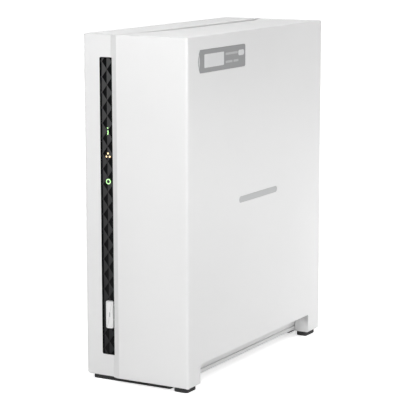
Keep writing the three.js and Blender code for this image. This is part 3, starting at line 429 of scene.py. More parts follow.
def lathe(bm, profile, axis, u, v, segments):
    """Turns [radius, along] points about an axis through (u, v); a radius of 0 closes an end."""
    rings = []
    for radius, along in profile:
        ring = disc(u, v, max(radius, 1e-7), segments)
        rings.append([to_space(axis, along, *point) for point in ring])
    add_rings(bm, rings)
    bmesh.ops.remove_doubles(bm, verts=bm.verts, dist=5e-7)
    bmesh.ops.recalc_face_normals(bm, faces=bm.faces)


def cleaned(name):
    """A CAD node's surface as an editable copy, with its vertices joined and flat faces merged."""
    bm = bmesh.new()
    bm.from_mesh(frame["nodes"][name].data)
    bmesh.ops.remove_doubles(bm, verts=bm.verts, dist=2e-6)
    flat = math.radians(0.4)
    bmesh.ops.dissolve_limit(bm, angle_limit=flat, verts=bm.verts, edges=bm.edges)
    return bm


def carve(bm, cutter):
    """Subtracts one closed editable mesh from another."""
    objects = []
    for source in (bm, cutter):
        mesh = bpy.data.meshes.new("carving")
        bmesh.ops.recalc_face_normals(source, faces=source.faces)
        source.to_mesh(mesh)
        made = bpy.data.objects.new("carving", mesh)
        bpy.context.scene.collection.objects.link(made)
        objects.append(made)
    boolean = objects[0].modifiers.new("carve", "BOOLEAN")
    boolean.operation = "DIFFERENCE"
    boolean.solver = "EXACT"
    boolean.object = objects[1]
    result = objects[0].evaluated_get(bpy.context.evaluated_depsgraph_get()).to_mesh()
    carved = bmesh.new()
    carved.from_mesh(result)
    for made in objects:
        mesh = made.data
        bpy.data.objects.remove(made)
        bpy.data.meshes.remove(mesh)
    bm.free()
    cutter.free()
    return carved


def is_sharp(edge, degrees):
    return len(edge.link_faces) == 2 and edge.calc_face_angle() > math.radians(degrees)


def bevel(bm, edges, radius, segments, clamp):
    bmesh.ops.bevel(bm, geom=edges, offset=radius, offset_type="OFFSET", segments=segments,
                    profile=0.5, affect="EDGES", clamp_overlap=clamp)


def polish(node, material, radius):
    """Stands for a CAD node with the same solid, its sharp edges rounded and its own finish."""
    bm = cleaned(node)
    shortest = radius * 2.2
    bevel(bm, [e for e in bm.edges if is_sharp(e, 35) and e.calc_length() > shortest], radius, 2, True)
    piece(node + "_body", bm, material, frame["nodes"][node]["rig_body"], replaces=[node])


def round_edges(bm, chosen, radius):
    bevel(bm, [e for e in bm.edges if is_sharp(e, 30) and chosen(e)], radius, 3, False)


UNIT = {"x": Vector((1, 0, 0)), "y": Vector((0, 1, 0)), "z": Vector((0, 0, 1))}


def bisect(bm, geom, axis, place, sense=1, trim=False):
    """Splits geometry along a plane across an axis, and can trim away what lies beyond it."""
    bmesh.ops.bisect_plane(bm, geom=geom, plane_co=UNIT[axis] * place, plane_no=UNIT[axis] * sense,
                           clear_outer=trim, dist=1e-7)


def piece(name, bm, material, body, replaces=(), smooth=35):
    """Turns an editable mesh into a finished object that rides on a body."""
    bmesh.ops.recalc_face_normals(bm, faces=bm.faces)
    mesh = bpy.data.meshes.new(name)
    bm.to_mesh(mesh)
    bm.free()
    mesh.polygons.foreach_set("use_smooth", [True] * len(mesh.polygons))
    mesh.set_sharp_from_angle(angle=math.radians(smooth))
    mesh.materials.append(MATERIALS[material])
    made = bpy.data.objects.new(name, mesh)
    bpy.context.scene.collection.objects.link(made)
    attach(made, body)
    if replaces:
        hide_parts(*replaces)
    weighted = made.modifiers.new("flat_faces_stay_flat", "WEIGHTED_NORMAL")
    weighted.keep_sharp = True
    weighted.weight = 100


# ---- Shell ----

def edge_on(edge, axis, *places):
    """Whether both ends of an edge lie on one of some planes across an axis."""
    index = "xyz".index(axis)
    return all(any(abs(v.co[index] - place) < 2e-5 for place in places) for v in edge.verts)


def housing_edge(edge):
    """Outer edges of the housing: round its side, its top band, its panel and its floor."""
    outer_x = edge_on(edge, "x", LEFT)
    outer_y = edge_on(edge, "y", PANEL_Y, REAR)
    outer_z = edge_on(edge, "z", TOP, HOUSING_LOW.z, HOUSING_LOW.z + PAD_DEPTH)
    return outer_x + outer_y + outer_z >= 2 and edge.calc_length() > 0.1 * MM


def left_housing():
    """The housing's shell. Its band of the top ends a little short of the seam."""
    bm = cleaned("left_housing")
    round_edges(bm, housing_edge, 0.5 * MM)
    for vert in bm.verts:
        at_seam = abs(vert.co.x - SEAM_X) < 0.5 * MM
        if at_seam and vert.co.z > TOP - WALL - 0.1 * MM:
            vert.co.x = SEAM_X - SEAM_GAP
    piece("housing_shell", bm, "white_plastic", "housing", replaces=["left_housing"])


def dish(x, y):
    """How far the cover's top is scooped: nothing at the front and right, most at the seam."""
    across = min(1.0, max(0.0, (RIGHT - x) / (RIGHT - SEAM_X)))
    along = min(1.0, max(0.0, (y - FRONT - DISH_START) / DISH_RISE))
    out = min(1.0, max(0.0, (REAR - 1 * MM - y) / DISH_REAR))
    return DISH_DEPTH * across ** 1.6 * math.sin(along * math.pi / 2) * out * out * (3 - 2 * out)


def cover_edge(edge):
    outer_x = edge_on(edge, "x", RIGHT)
    outer_y = edge_on(edge, "y", FRONT, REAR)
    outer_z = edge_on(edge, "z", TOP, COVER_LOW.z)
    return outer_x + outer_y + outer_z >= 2


def cut_top(bm, axis, places):
    """Splits the faces of the top along planes across an axis."""
    for place in places:
        faces = [f for f in bm.faces if f.normal.z > 0.99 and f.calc_center_median().z > TOP - 0.2 * MM]
        edges = dict.fromkeys(e for f in faces for e in f.edges)
        verts = dict.fromkeys(v for f in faces for v in f.verts)
        bisect(bm, faces + list(edges) + list(verts), axis, place)


def lapped_step(bm):
    """Moves the sloping step's edge over the strip's line, and notches it where it passes the strip."""
    for vert in bm.verts:
        if abs(vert.co.x - SLOPE_LEFT) < 0.1 * MM and vert.co.y < PANEL_Y:
            vert.co.x -= SLOPE_LAP
    notch = bmesh.new()
    contour(notch, rounded(STRIP_RIGHT - 3 * MM, STRIP_RIGHT + 0.4 * MM, STRIP_BOTTOM - 0.1 * MM,
                           STRIP_TOP + 0.1 * MM, 0.3 * MM), "y", [(0.0, FRONT), (0.0, PANEL_Y)])
    return carve(bm, notch)


def right_cover():
    """The cover's shell, with its top cut finely enough to be scooped."""
    bm = lapped_step(cleaned("right_cover"))
    round_edges(bm, cover_edge, EDGE_R)
    bm.normal_update()
    cut_top(bm, "x", [SEAM_X + i * 2.5 * MM for i in range(1, 17)])
    cut_top(bm, "y", [FRONT + (2 + i * 7) * MM for i in range(22)])
    cut_top(bm, "y", [REAR - i * 1.4 * MM for i in range(1, 6)])
    for vert in bm.verts:
        if vert.co.z > TOP - WALL / 2:
            vert.co.z -= dish(vert.co.x, vert.co.y)
    piece("cover_shell", bm, "white_plastic", "cover", replaces=["right_cover"])


def feet():
    for node, body in (("front_foot_bar", "housing"), ("rear_foot_bar", "housing"),
                       ("front_right_foot", "cover"), ("rear_right_foot", "cover")):
        low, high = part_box(node)
        bm = bmesh.new()
        slab(bm, rounded(low.x, high.x, low.y, high.y, 1.4 * MM), "z", high.z, low.z, 0.5 * MM)
        piece(node + "_rubber", bm, "rubber", body, replaces=[node])


# ---- Front strip ----

STRIP_MID = (STRIP_LEFT + STRIP_RIGHT) / 2
FIRST_CROSSING = STRIP_TOP - 6.4 * MM  # height of the topmost place where the diamonds' outlines cross
RIDGE = 0.86  # how much of a diamond's height its upright ridge takes
LAMPS = {name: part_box(name + "_light") for name in ("status", "network", "ready")}


def relief(x, z):
    """Height of the diamond relief, 0 at the outlines and 1 on the ridges."""
    u = (x - STRIP_MID) / DIAMOND_HALF_W
    v = (z - FIRST_CROSSING) / DIAMOND_HALF_H + 1
    along = math.floor((u + v + 1) / 2)
    against = math.floor((v - u + 1) / 2)
    du = abs(u - (along - against))
    dv = abs(v - (along + against))
    return max(0.0, min(1 - du, (1 - du - dv) / (1 - RIDGE)))


def relief_y(height):
    return STRIP_FACE + RELIEF * (1 - height)


def diamond(bm, u, v):
    """One diamond of the relief: an upright ridge with a facet to each side and four narrow ones."""
    def corner(du, dv, height):
        x = STRIP_MID + (u + du) * DIAMOND_HALF_W
        z = FIRST_CROSSING + (v + dv - 1) * DIAMOND_HALF_H
        return bm.verts.new((x, relief_y(height), z))
    top, bottom = corner(0, 1, 0), corner(0, -1, 0)
    upper, lower = corner(0, RIDGE, 1), corner(0, -RIDGE, 1)
    for side in (-1, 1):
        tip = corner(side, 0, 0)
        bm.faces.new((upper, lower, tip))
        bm.faces.new((top, upper, tip))
        bm.faces.new((lower, bottom, tip))


def strip():
    """The window's plate: diamonds trimmed to its outline, a skirt and a back, and a hole for the key."""
    bm = bmesh.new()
    rows = round((STRIP_TOP - STRIP_BOTTOM) / DIAMOND_HALF_H) + 4
    for column in range(-2, 3):
        for row in range(-rows, 5):
            if (column + row) % 2 == 0:
                diamond(bm, column, row)
    bmesh.ops.remove_doubles(bm, verts=bm.verts, dist=1e-6)
    for axis, place, sense in (("x", STRIP_LEFT, -1), ("x", STRIP_RIGHT, 1),
                               ("z", STRIP_BOTTOM, -1), ("z", STRIP_TOP, 1)):
        bisect(bm, bm.verts[:] + bm.edges[:] + bm.faces[:], axis, place, sense, trim=True)
    rim = [e for e in bm.edges if e.is_boundary]
    skirt = bmesh.ops.extrude_edge_only(bm, edges=rim)["geom"]
    for vert in (g for g in skirt if isinstance(g, bmesh.types.BMVert)):
        vert.co.y = STRIP_HIGH.y
    bmesh.ops.contextual_create(bm, geom=[e for e in bm.edges if e.is_boundary])
    hole = bmesh.new()
    covered = KEY_FLANGE - 0.3 * MM  # the flange, less the gap round the key
    outline = rounded(KEY_LOW.x + covered, KEY_HIGH.x - covered,
                      KEY_LOW.z + covered, KEY_HIGH.z - covered, 1.1 * MM)
    contour(hole, outline, "y", [(0.0, STRIP_LOW.y - 1 * MM), (0.0, STRIP_HIGH.y + 1 * MM)])
    piece("strip_window", carve(bm, hole), "black_gloss", "housing", replaces=["window_strip"], smooth=5)
    strip_frame()


def strip_frame():
    """Thin black lip that lines the window and laps onto the panel's face."""
    lap, drop = 0.13 * MM, 0.05 * MM
    edge = 0.1 * MM  # the strip's own gap to its window
    outer = rounded(STRIP_LEFT - edge - lap, STRIP_RIGHT + edge + lap, STRIP_BOTTOM - edge - drop,
                    STRIP_TOP + edge + drop, 0.85 * MM)
    lining, inner = inset(outer, 0.17 * MM), inset(outer, 0.35 * MM)
    under, over, deep = PANEL_Y - 0.005 * MM, PANEL_Y - 0.05 * MM, STRIP_FACE + RELIEF + 0.2 * MM
    section = ((outer, under), (outer, over), (inner, over), (inner, deep), (lining, deep), (lining, under),
               (outer, under))
    rings = [[to_space("y", y, *point) for point in outline] for outline, y in section]
    bm = bmesh.new()
    add_rings(bm, rings, closed_ends=False)
    bmesh.ops.remove_doubles(bm, verts=bm.verts, dist=1e-6)
    piece("strip_lip", bm, "black_gloss", "housing")


def glyph(bm, outline, hole_radius=0.0):
    """A lit shape that lies on the relief: rings stepping inwards from its outline to a hole or a point."""
    count = len(outline)
    centre = Vector((sum(p[0] for p in outline) / count, sum(p[1] for p in outline) / count))
    reach = min((Vector(p) - centre).length for p in outline)
    rings = 5
    shapes = []
    for i in range(rings + 1):
        keep = 1 - (1 - hole_radius / reach) * i / rings
        shapes.append([centre + (Vector(p) - centre) * keep for p in outline])
    proud = 0.05 * MM
    back = STRIP_FACE + RELIEF + 0.3 * MM
    front = [[Vector((p.x, relief_y(relief(p.x, p.y)) - proud, p.y)) for p in shape] for shape in shapes]
    ends = [[Vector((p.x, back, p.y)) for p in shape] for shape in (shapes[-1], shapes[0])]
    add_rings(bm, front + ends + front[:1], closed_ends=False)
    bmesh.ops.remove_doubles(bm, verts=bm.verts, dist=2e-6)
    bmesh.ops.recalc_face_normals(bm, faces=bm.faces)


def lamp_centre(name):
    """Middle of a lamp's light guide across X, and its reference height."""
    low, high = LAMPS[name]
    return (low.x + high.x) / 2, low.z + 2.6 * MM


def lamps():
    x, z = lamp_centre("status")
    bm = bmesh.new()
    glyph(bm, rounded(x - 0.32 * MM, x + 0.32 * MM, z - 2 * MM, z + 0.3 * MM, 0.2 * MM, 4))
    glyph(bm, rounded(x - 0.36 * MM, x + 0.36 * MM, z + 1.2 * MM, z + 1.95 * MM, 0.3 * MM, 4))
    piece("status_lamp", bm, "green_light", "housing", replaces=["status_light"])
    x, z = lamp_centre("network")
    bm = bmesh.new()
    for degrees in (90, 210, 330):
        angle = math.radians(degrees)
        around = 1.15 * MM
        glyph(bm, disc(x + around * math.cos(angle), z + around * math.sin(angle), 0.5 * MM, 20))
    piece("network_lamp", bm, "amber_light", "housing", replaces=["network_light"])
    x, z = lamp_centre("ready")
    bm = bmesh.new()
    glyph(bm, disc(x, z, 1.45 * MM, 32), hole_radius=0.95 * MM)
    piece("ready_lamp", bm, "green_light", "housing", replaces=["ready_light"])


def key():
    """The white key: a raised rim round a slightly sunken face, with a small plain mark."""
    x0, x1 = KEY_LOW.x + KEY_FLANGE, KEY_HIGH.x - KEY_FLANGE
    z0, z1 = KEY_LOW.z + KEY_FLANGE, KEY_HIGH.z - KEY_FLANGE
    face = KEY_LOW.y
    rim = 0.45 * MM
    sunk = 0.18 * MM
    outline = rounded(x0, x1, z0, z1, 0.9 * MM)
    profile = [(0.0, STRIP_HIGH.y + 0.3 * MM)] + quarter(0.35 * MM, face, -1)
    profile += [(rim, face), (rim + 0.1 * MM, face + sunk * 0.3), (rim + 0.2 * MM, face + sunk),
                (rim + 0.6 * MM, face + sunk)]
    bm = bmesh.new()
    contour(bm, outline, "y", profile)
    contour(bm, rounded(KEY_LOW.x, KEY_HIGH.x, KEY_LOW.z, KEY_HIGH.z, 1 * MM), "y",
            [(0.0, STRIP_HIGH.y + 0.2 * MM), (0.0, STRIP_HIGH.y + 1 * MM)])
    middle = ((KEY_LOW.x + KEY_HIGH.x) / 2, (KEY_LOW.z + KEY_HIGH.z) / 2)
    lathe(bm, [(0, STRIP_HIGH.y + 0.5 * MM), (1.2 * MM, STRIP_HIGH.y + 0.5 * MM), (1.2 * MM, KEY_HIGH.y),
               (0, KEY_HIGH.y)], "y", *middle, 24)
    piece("power_key_cap", bm, "white_key", "power_key", replaces=["power_button"])
    bm = bmesh.new()
    x, z = middle
    slab(bm, rounded(x - 0.3 * MM, x + 0.3 * MM, z - 1.3 * MM, z + 1.3 * MM, 0.29 * MM), "y",
         face + 0.4 * MM, face + sunk - 0.04 * MM, 0.03 * MM)
    piece("power_key_mark", bm, "grey_ink", "power_key")


# ---- Side badge and mark ----

def bulged(y0, y1, z0, z1, radius, bulge):
    """A plate's outline whose front end bulges forward, in (y, z)."""
    points = [p for p in rounded(y0 + bulge, y1, z0, z1, radius) if p[0] > y0 + bulge + 2 * radius]
    steps = 14
    for i in range(steps + 1):
        t = i / steps
        points.append((y0 + bulge - 4 * bulge * t * (1 - t), z1 + (z0 - z1) * t))
    return points


def badge():
    """Badge plate with a light panel, a tile, a crescent and plain bars."""
    low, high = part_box("side_badge")
    face = high.x - 0.09 * MM
    bm = bmesh.new()
    slab(bm, bulged(low.y, high.y, low.z, high.z, 1.2 * MM, 2 * MM), "x", low.x, face, 0.1 * MM)
    piece("badge_plate", bm, "grey_label", "cover", replaces=["side_badge"])
    proud = high.x - 0.03 * MM
    sunk = face - 0.05 * MM
    y, z = low.y, low.z
    middle = (low.z + high.z) / 2
    bm = bmesh.new()
    for start, end, bottom, top, radius in ((6.7, 27.6, 2.5, 9.6, 0.5), (43.6, 50.0, 6.3, 9.3, 1.2)):
        outline = rounded(y + start * MM, y + end * MM, z + bottom * MM, z + top * MM, radius * MM)
        slab(bm, outline, "x", sunk, proud, 0.05 * MM)
    chord, arc, half = y + 0.8 * MM, 3.6 * MM, 3.8 * MM
    moon = [(chord + arc * t * (1 - t), middle + half * (2 * t - 1)) for t in (i / 12 for i in range(13))]
    back = [(chord, middle + half * (1 - 2 * t)) for t in (i / 4 for i in range(1, 4))]
    slab(bm, moon[::-1] + back[::-1], "x", sunk, proud, 0.05 * MM)
    piece("badge_panels", bm, "pale_print", "cover")
    bm = bmesh.new()
    for start, length, height in ((29.5, 13.5, 8.2), (29.5, 7.5, 3.9), (38.2, 5.5, 3.9)):
        slab(bm, rounded(y + start * MM, y + (start + length) * MM, z + (height - 0.6) * MM,
                         z + (height + 0.6) * MM, 0.5 * MM), "x", sunk, proud, 0.04 * MM)
    piece("badge_bars", bm, "grey_ink", "cover")


def side_mark():
    low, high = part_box("side_mark")
    bm = bmesh.new()
    half = (high.z - low.z) / 2
    outline = rounded(low.y, high.y, low.z, high.z, half * 0.98, 10)
    slab(bm, outline, "x", low.x, high.x - 0.08 * MM, 0.1 * MM)
    piece("side_bar", bm, "grey_ink", "cover", replaces=["side_mark"])


# ---- Rear panel and fan ----

FAN_LOW, FAN_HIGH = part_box("fan_frame")
FAN_X = (FAN_LOW.x + FAN_HIGH.x) / 2
FAN_Z = (FAN_LOW.z + FAN_HIGH.z) / 2


def fan_blade(bm, turn):
    """One swept blade: rings of a thin lens section from the hub to the tip, each turned a little more."""
    low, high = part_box("fan_rotor")
    middle_y = (low.y + high.y) / 2 - 0.4 * MM
    hub, tip = 9.8 * MM, (high.x - low.x) / 2 - 0.1 * MM
    rings = []
    stations = 9
    for i in range(stations):
        t = i / (stations - 1)
        radius = hub + (tip - hub) * t
        chord = (10.5 + 3.2 * t - 1.2 * t * t) * MM
        pitch = math.radians(40 - 12 * t)
        sweep = math.radians(-4 + 22 * t * t)
        ring = []
        for k in range(16):
            angle = 2 * math.pi * k / 16
            along = chord / 2 * math.cos(angle)
            thick = 0.55 * MM * math.sin(angle) + 0.9 * MM * (1 - (2 * along / chord) ** 2)
            around = (along * math.cos(pitch)) / radius + turn + sweep
            y = middle_y - along * math.sin(pitch) - thick
            ring.append(Vector((FAN_X + radius * math.cos(around), y, FAN_Z + radius * math.sin(around))))
        rings.append(ring)
    add_rings(bm, rings)


def fan():
    polish("fan_frame", "black_plastic", 0.3 * MM)
    polish("fan_stator", "copper_winding", 0.2 * MM)
    polish("fan_cable", "black_plastic", 0.01 * MM)
    polish("fan_plug", "connector_cream", 0.3 * MM)
    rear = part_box("fan_rotor")[1].y
    hub = 10.5 * MM
    front, back = FAN_LOW.y + 1.2 * MM, FAN_HIGH.y - 3.1 * MM
    bm = bmesh.new()
    dip, inside = front + 0.35 * MM, front + 1.6 * MM
    cup, shaft = 8.8 * MM, 1.5 * MM
    profile = [(0, dip), (5.2 * MM, dip), (5.6 * MM, front), (hub - 1.3 * MM, front), (hub - 0.4 * MM, dip),
               (hub, front + 1.2 * MM), (hub, back), (cup, back), (cup, inside), (shaft, inside),
               (shaft, rear), (0, rear)]
    lathe(bm, profile, "y", FAN_X, FAN_Z, 64)
    for i in range(7):
        fan_blade(bm, 2 * math.pi * i / 7)
    piece("fan_rotor_body", bm, "black_plastic", "rotor", replaces=["fan_rotor"])
    bm = bmesh.new()
    slab(bm, disc(FAN_X, FAN_Z, 7.8 * MM, 48), "y", front + 0.4 * MM, front - 0.04 * MM, 0.05 * MM)
    piece("fan_rotor_label", bm, "pale_print", "rotor")


# ---- Screws ----

SCREW_HEAD = 1.7 * MM  # height of a head


def cross_recess(bm, axis, crown, sense, u, v, radius):
    """Cuts two tapered slots that cross each other into a screw's crown."""
    deep = crown - sense * 1.0 * MM
    out = crown + sense * 0.3 * MM
    for long_u, long_v in ((0.56, 0.13), (0.13, 0.56)):
        rings = []
        for scale, along in ((0.55, deep), (1.0, out)):
            a, b = radius * long_u * scale, radius * long_v * (0.7 + 0.3 * scale)
            if long_u < long_v:
                a, b = radius * long_u * (0.7 + 0.3 * scale), radius * long_v * scale
            corners = ((-1, -1), (1, -1), (1, 1), (-1, 1))
            rings.append([to_space(axis, along, u + p * a, v + q * b) for p, q in corners])
        slot = bmesh.new()
        add_rings(slot, rings)
        bm = carve(bm, slot)
    return bm


def screw(node, axis, sense):
    """A pan-head screw with a cross recess, in a CAD screw's place. Its head faces `sense` along an axis."""
    low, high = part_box(node)
    index = "xyz".index(axis)
    others = [i for i in range(3) if i != index]
    u, v = (low[others[0]] + high[others[0]]) / 2, (low[others[1]] + high[others[1]]) / 2
    crown = high[index] if sense > 0 else low[index]
    tip = low[index] if sense > 0 else high[index]
    seat = crown - sense * SCREW_HEAD
    radius = (high[others[0]] - low[others[0]]) / 2
    shank = radius * 0.45
    profile = [(0, tip), (shank * 0.6, tip)]
    turns = 7
    for i in range(turns):
        start = tip + (seat - tip) * (0.08 + 0.9 * i / turns)
        profile += [(shank, start), (shank * 0.82, start + (seat - tip) * 0.45 / turns)]
    profile += [(shank, seat), (radius * 0.96, seat), (radius, seat + sense * 0.12 * MM)]
    for i in range(6):
        angle = math.pi / 2 * i / 5
        height = 0.5 * MM + (SCREW_HEAD - 0.5 * MM) * math.sin(angle)
        profile.append((radius * (0.72 + 0.28 * math.cos(angle)), seat + sense * height))
    profile.append((0, crown))
    bm = bmesh.new()
    lathe(bm, profile, axis, u, v, 32)
    bm = cross_recess(bm, axis, crown, sense, u, v, radius)
    body = frame["nodes"][node]["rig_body"]
    piece(node + "_body", bm, "screw_steel", body, replaces=[node])


def screws():
    for i in (1, 2, 3):
        screw(f"board_screw_{i}", "x", 1)
        screw(f"cage_screw_{i}", "x", 1)
    for i in (1, 2, 3, 4):
        screw(f"fan_screw_{i}", "y", 1)
    for i in (1, 2):
        screw(f"drive_screw_front_{i}", "y", -1)
        screw(f"drive_screw_rear_{i}", "y", 1)
    for name in ("lower", "upper"):
        screw(f"cover_screw_{name}", "y", 1)


# ---- Boards and connectors ----

def chip(bm, x, y, z, size_y, size_z, height):
    """A square-edged part standing on a board whose face is at x."""
    outline = rounded(y - size_y / 2, y + size_y / 2, z - size_z / 2, z + size_z / 2, 0.12 * MM, 2)
    slab(bm, outline, "x", x - 0.05 * MM, x + height, 0.12 * MM, 2)


def pins(bm, x, y, z, size_y, size_z, pitch):
    """Rows of short bent leads along both upright sides of a chip."""
    count = int(size_z / pitch) - 1
    for side in (-1, 1):
        for i in range(count):
            at = z + (i - (count - 1) / 2) * pitch
            outer = y + side * (size_y / 2 + 0.7 * MM)
            inner = y + side * (size_y / 2 - 0.1 * MM)
            chip(bm, x, (outer + inner) / 2, at, abs(outer - inner), pitch * 0.45, 0.25 * MM)


def capacitor(can, sleeve, x, y, z, radius, height):
    """A can with a groove round its foot and a sleeve under it, on a board whose face is at x."""
    base, collar, rim = x - 0.05 * MM, x + 0.6 * MM, 0.3 * MM
    wide = radius * 1.05
    lathe(sleeve, [(0, base), (wide, base), (wide, collar), (0, collar)], "x", y, z, 24)
    profile = [(0, x + 0.5 * MM), (radius, x + 0.5 * MM), (radius, x + 1.1 * MM),
               (radius * 0.93, x + 1.3 * MM), (radius, x + 1.6 * MM), (radius, x + height - rim),
               (radius - rim, x + height), (0, x + height)]
    lathe(can, profile, "x", y, z, 24)


# Small parts on the mainboard, in millimetres: place (y, z) and size (y, z) of the chips, and
# place (y, z), radius and height of the capacitors.
CHIPS = ((-22, 62, 9, 9), (-24, 38, 6, 8), (30, 30, 8, 8), (48, 34, 7, 6), (34, 92, 6, 6), (-8, 102, 8, 5),
         (50, 108, 6, 5))
CAPACITORS = ((44, 22, 3.1, 7), (52, 22, 3.1, 7), (36, 108, 2.5, 6), (-33, 75, 2.5, 6), (44, 86, 2.5, 6))


def mainboard_parts():
    """Small parts soldered on the mainboard, kept clear of the solids that CAD puts there."""
    low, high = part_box("mainboard")
    face = high.x
    black, pale, metal_parts, cans = (bmesh.new() for _ in range(4))
    for place in CHIPS:
        at = (face, *(value * MM for value in place))
        chip(black, *at, 1.1 * MM)
        pins(metal_parts, *at, 0.8 * MM)
    rng = random.Random(5)
    taken = [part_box(node) for node in (
        "processor", "heatsink", "memory_chip", "coin_cell_holder", "lan_jack", "usb_port_lower",
        "usb_port_upper", "dc_jack", "reset_switch", "sata_board", "fan_plug", "front_cable",
        "board_screw_1", "board_screw_2", "board_screw_3")]
    for _ in range(170):
        y = rng.uniform(low.y + 2 * MM, high.y - 2 * MM)
        z = rng.uniform(low.z + 2 * MM, high.z - 2 * MM)
        tall = rng.random() < 0.5
        margin = 1.6 * MM
        if any(a.y - margin < y < b.y + margin and a.z - margin < z < b.z + margin for a, b in taken):
            continue
        size = (1.0 * MM, 0.5 * MM) if tall else (0.5 * MM, 1.0 * MM)
        chip(pale if rng.random() < 0.5 else black, face, y, z, *size, 0.45 * MM)
    for place in CAPACITORS:
        capacitor(cans, black, face, *(value * MM for value in place))
    piece("mainboard_chips", black, "black_plastic", "housing")
    piece("mainboard_ceramics", pale, "connector_cream", "housing")
    piece("mainboard_leads", metal_parts, "bright_nickel", "housing")
    piece("mainboard_capacitors", cans, "heatsink_aluminium", "housing")


def port_details():
    """Contacts inside the network socket and the tongues of the USB sockets."""
    low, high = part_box("lan_jack")
    middle = (low.z + high.z) / 2
    bm = bmesh.new()
    for i in range(8):
        z = middle + (i - 3.5) * 1.02 * MM
        box_slab(bm, Vector((low.x + 2.6 * MM, high.y - 11 * MM, z - 0.2 * MM)),
                 Vector((low.x + 3.1 * MM, high.y - 1.6 * MM, z + 0.2 * MM)), 0.1 * MM)
    piece("network_contacts", bm, "gold", "housing")
    bm = bmesh.new()
    for node in ("usb_port_lower", "usb_port_upper"):
        low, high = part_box(node)
        box_slab(bm, Vector((low.x + 3.32 * MM, low.y + 2 * MM, low.z + 1.15 * MM)),
                 Vector((low.x + 5.08 * MM, high.y - 1.1 * MM, high.z - 1.15 * MM)), 0.15 * MM)
    piece("usb_tongues", bm, "black_plastic", "housing")


def boards():
    for node in ("mainboard", "front_board", "sata_board", "drive_board"):
        polish(node, "circuit_board", 0.12 * MM)
    for node in ("processor", "memory_chip", "coin_cell_holder", "dc_jack", "reset_switch", "reset_button",
                 "sata_socket", "drive_connector", "button_switch"):
        polish(node, "black_plastic", 0.2 * MM)
    for node in ("lan_jack", "usb_port_lower", "usb_port_upper"):
        polish(node, "bright_nickel", 0.15 * MM)
    polish("coin_cell", "bright_nickel", 0.3 * MM)
    polish("heatsink", "heatsink_aluminium", 0.15 * MM)
    polish("front_cable", "cable_white", 0.05 * MM)
    mainboard_parts()
    port_details()


# ---- Disk drive ----

SPINDLE_Y, SPINDLE_Z = -7.2 * MM, 124.5 * MM  # axis of the disks, along X


def drive_lid():
    """Pressed steel lid: a raised land round the disks, a lower one over the arm, and six screws."""
    low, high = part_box("drive_lid")
    plate = high.x - 0.7 * MM
    bm = bmesh.new()
    slab(bm, rounded(low.y, high.y, low.z, high.z, 3 * MM, 8), "x", low.x, plate, 0.35 * MM)
    root = plate - 0.2 * MM
    land = [(0, root), (47.6 * MM, root), (47.2 * MM, plate + 0.05 * MM), (46.4 * MM, high.x - 0.12 * MM),
            (45.6 * MM, high.x), (0, high.x)]
    lathe(bm, land, "x", SPINDLE_Y, SPINDLE_Z, 96)
    arm_land = rounded(low.y + 9 * MM, high.y - 9 * MM, low.z + 6 * MM, SPINDLE_Z - 34 * MM, 6 * MM, 8)
    slab(bm, arm_land, "x", root, plate + 0.45 * MM, 0.4 * MM)
    piece("drive_lid_body", bm, "steel", "housing", replaces=["drive_lid"])
    under, rim, crown, recess = (plate + rise * MM for rise in (-0.3, 0.3, 0.62, 0.1))
    head = [(0, under), (2.1 * MM, under), (2.1 * MM, rim), (1.7 * MM, crown), (0.9 * MM, crown),
            (0.8 * MM, recess), (0, recess)]
    heads = bmesh.new()
    for y in (low.y + 3.6 * MM, high.y - 3.6 * MM):
        for z in (low.z + 3.8 * MM, (low.z + high.z) / 2 - 8 * MM, high.z - 3.8 * MM):
            lathe(heads, head, "x", y, z, 24)
    piece("drive_lid_screws", heads, "screw_steel", "housing")


def lid_print(bm, y0, y1, z0, z1, radius):
    """A printed patch on the drive's label, placed from the disks' spindle."""
    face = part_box("drive_lid")[1].x
    outline = rounded(SPINDLE_Y + y0, SPINDLE_Y + y1, SPINDLE_Z + z0, SPINDLE_Z + z1, radius, 2)
    slab(bm, outline, "x", face, face + 0.09 * MM, 0.02 * MM, 1)


def drive_label():
    """A plain label on the lid, with bars of different lengths."""
    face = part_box("drive_lid")[1].x
    label = bmesh.new()
    side, below, above = 33 * MM, 22 * MM, 26 * MM
    outline = rounded(SPINDLE_Y - side, SPINDLE_Y + side, SPINDLE_Z - below, SPINDLE_Z + above, 2 * MM)
    slab(label, outline, "x", face - 0.05 * MM, face + 0.06 * MM, 0.05 * MM)
    piece("drive_label", label, "drive_label", "housing")
    bars = bmesh.new()
    rng = random.Random(11)
    for i in range(6):
        z = (18 - i * 6.5) * MM
        length = rng.uniform(20, 46) * MM
        lid_print(bars, -29 * MM, -29 * MM + length, z - 0.7 * MM, z + 0.7 * MM, 0.3 * MM)
    lid_print(bars, 20 * MM, 29 * MM, -19 * MM, -8 * MM, 1 * MM)
    piece("drive_label_bars", bars, "grey_label", "housing")


def drive():
    drive_lid()
    drive_label()
    polish("drive_base", "cast_aluminium", 0.4 * MM)
    polish("drive_platters", "disk_mirror", 0.15 * MM)
    polish("actuator_arm", "cast_aluminium", 0.15 * MM)
    polish("drive_cage", "steel", 0.3 * MM)


# ---- Stage ----

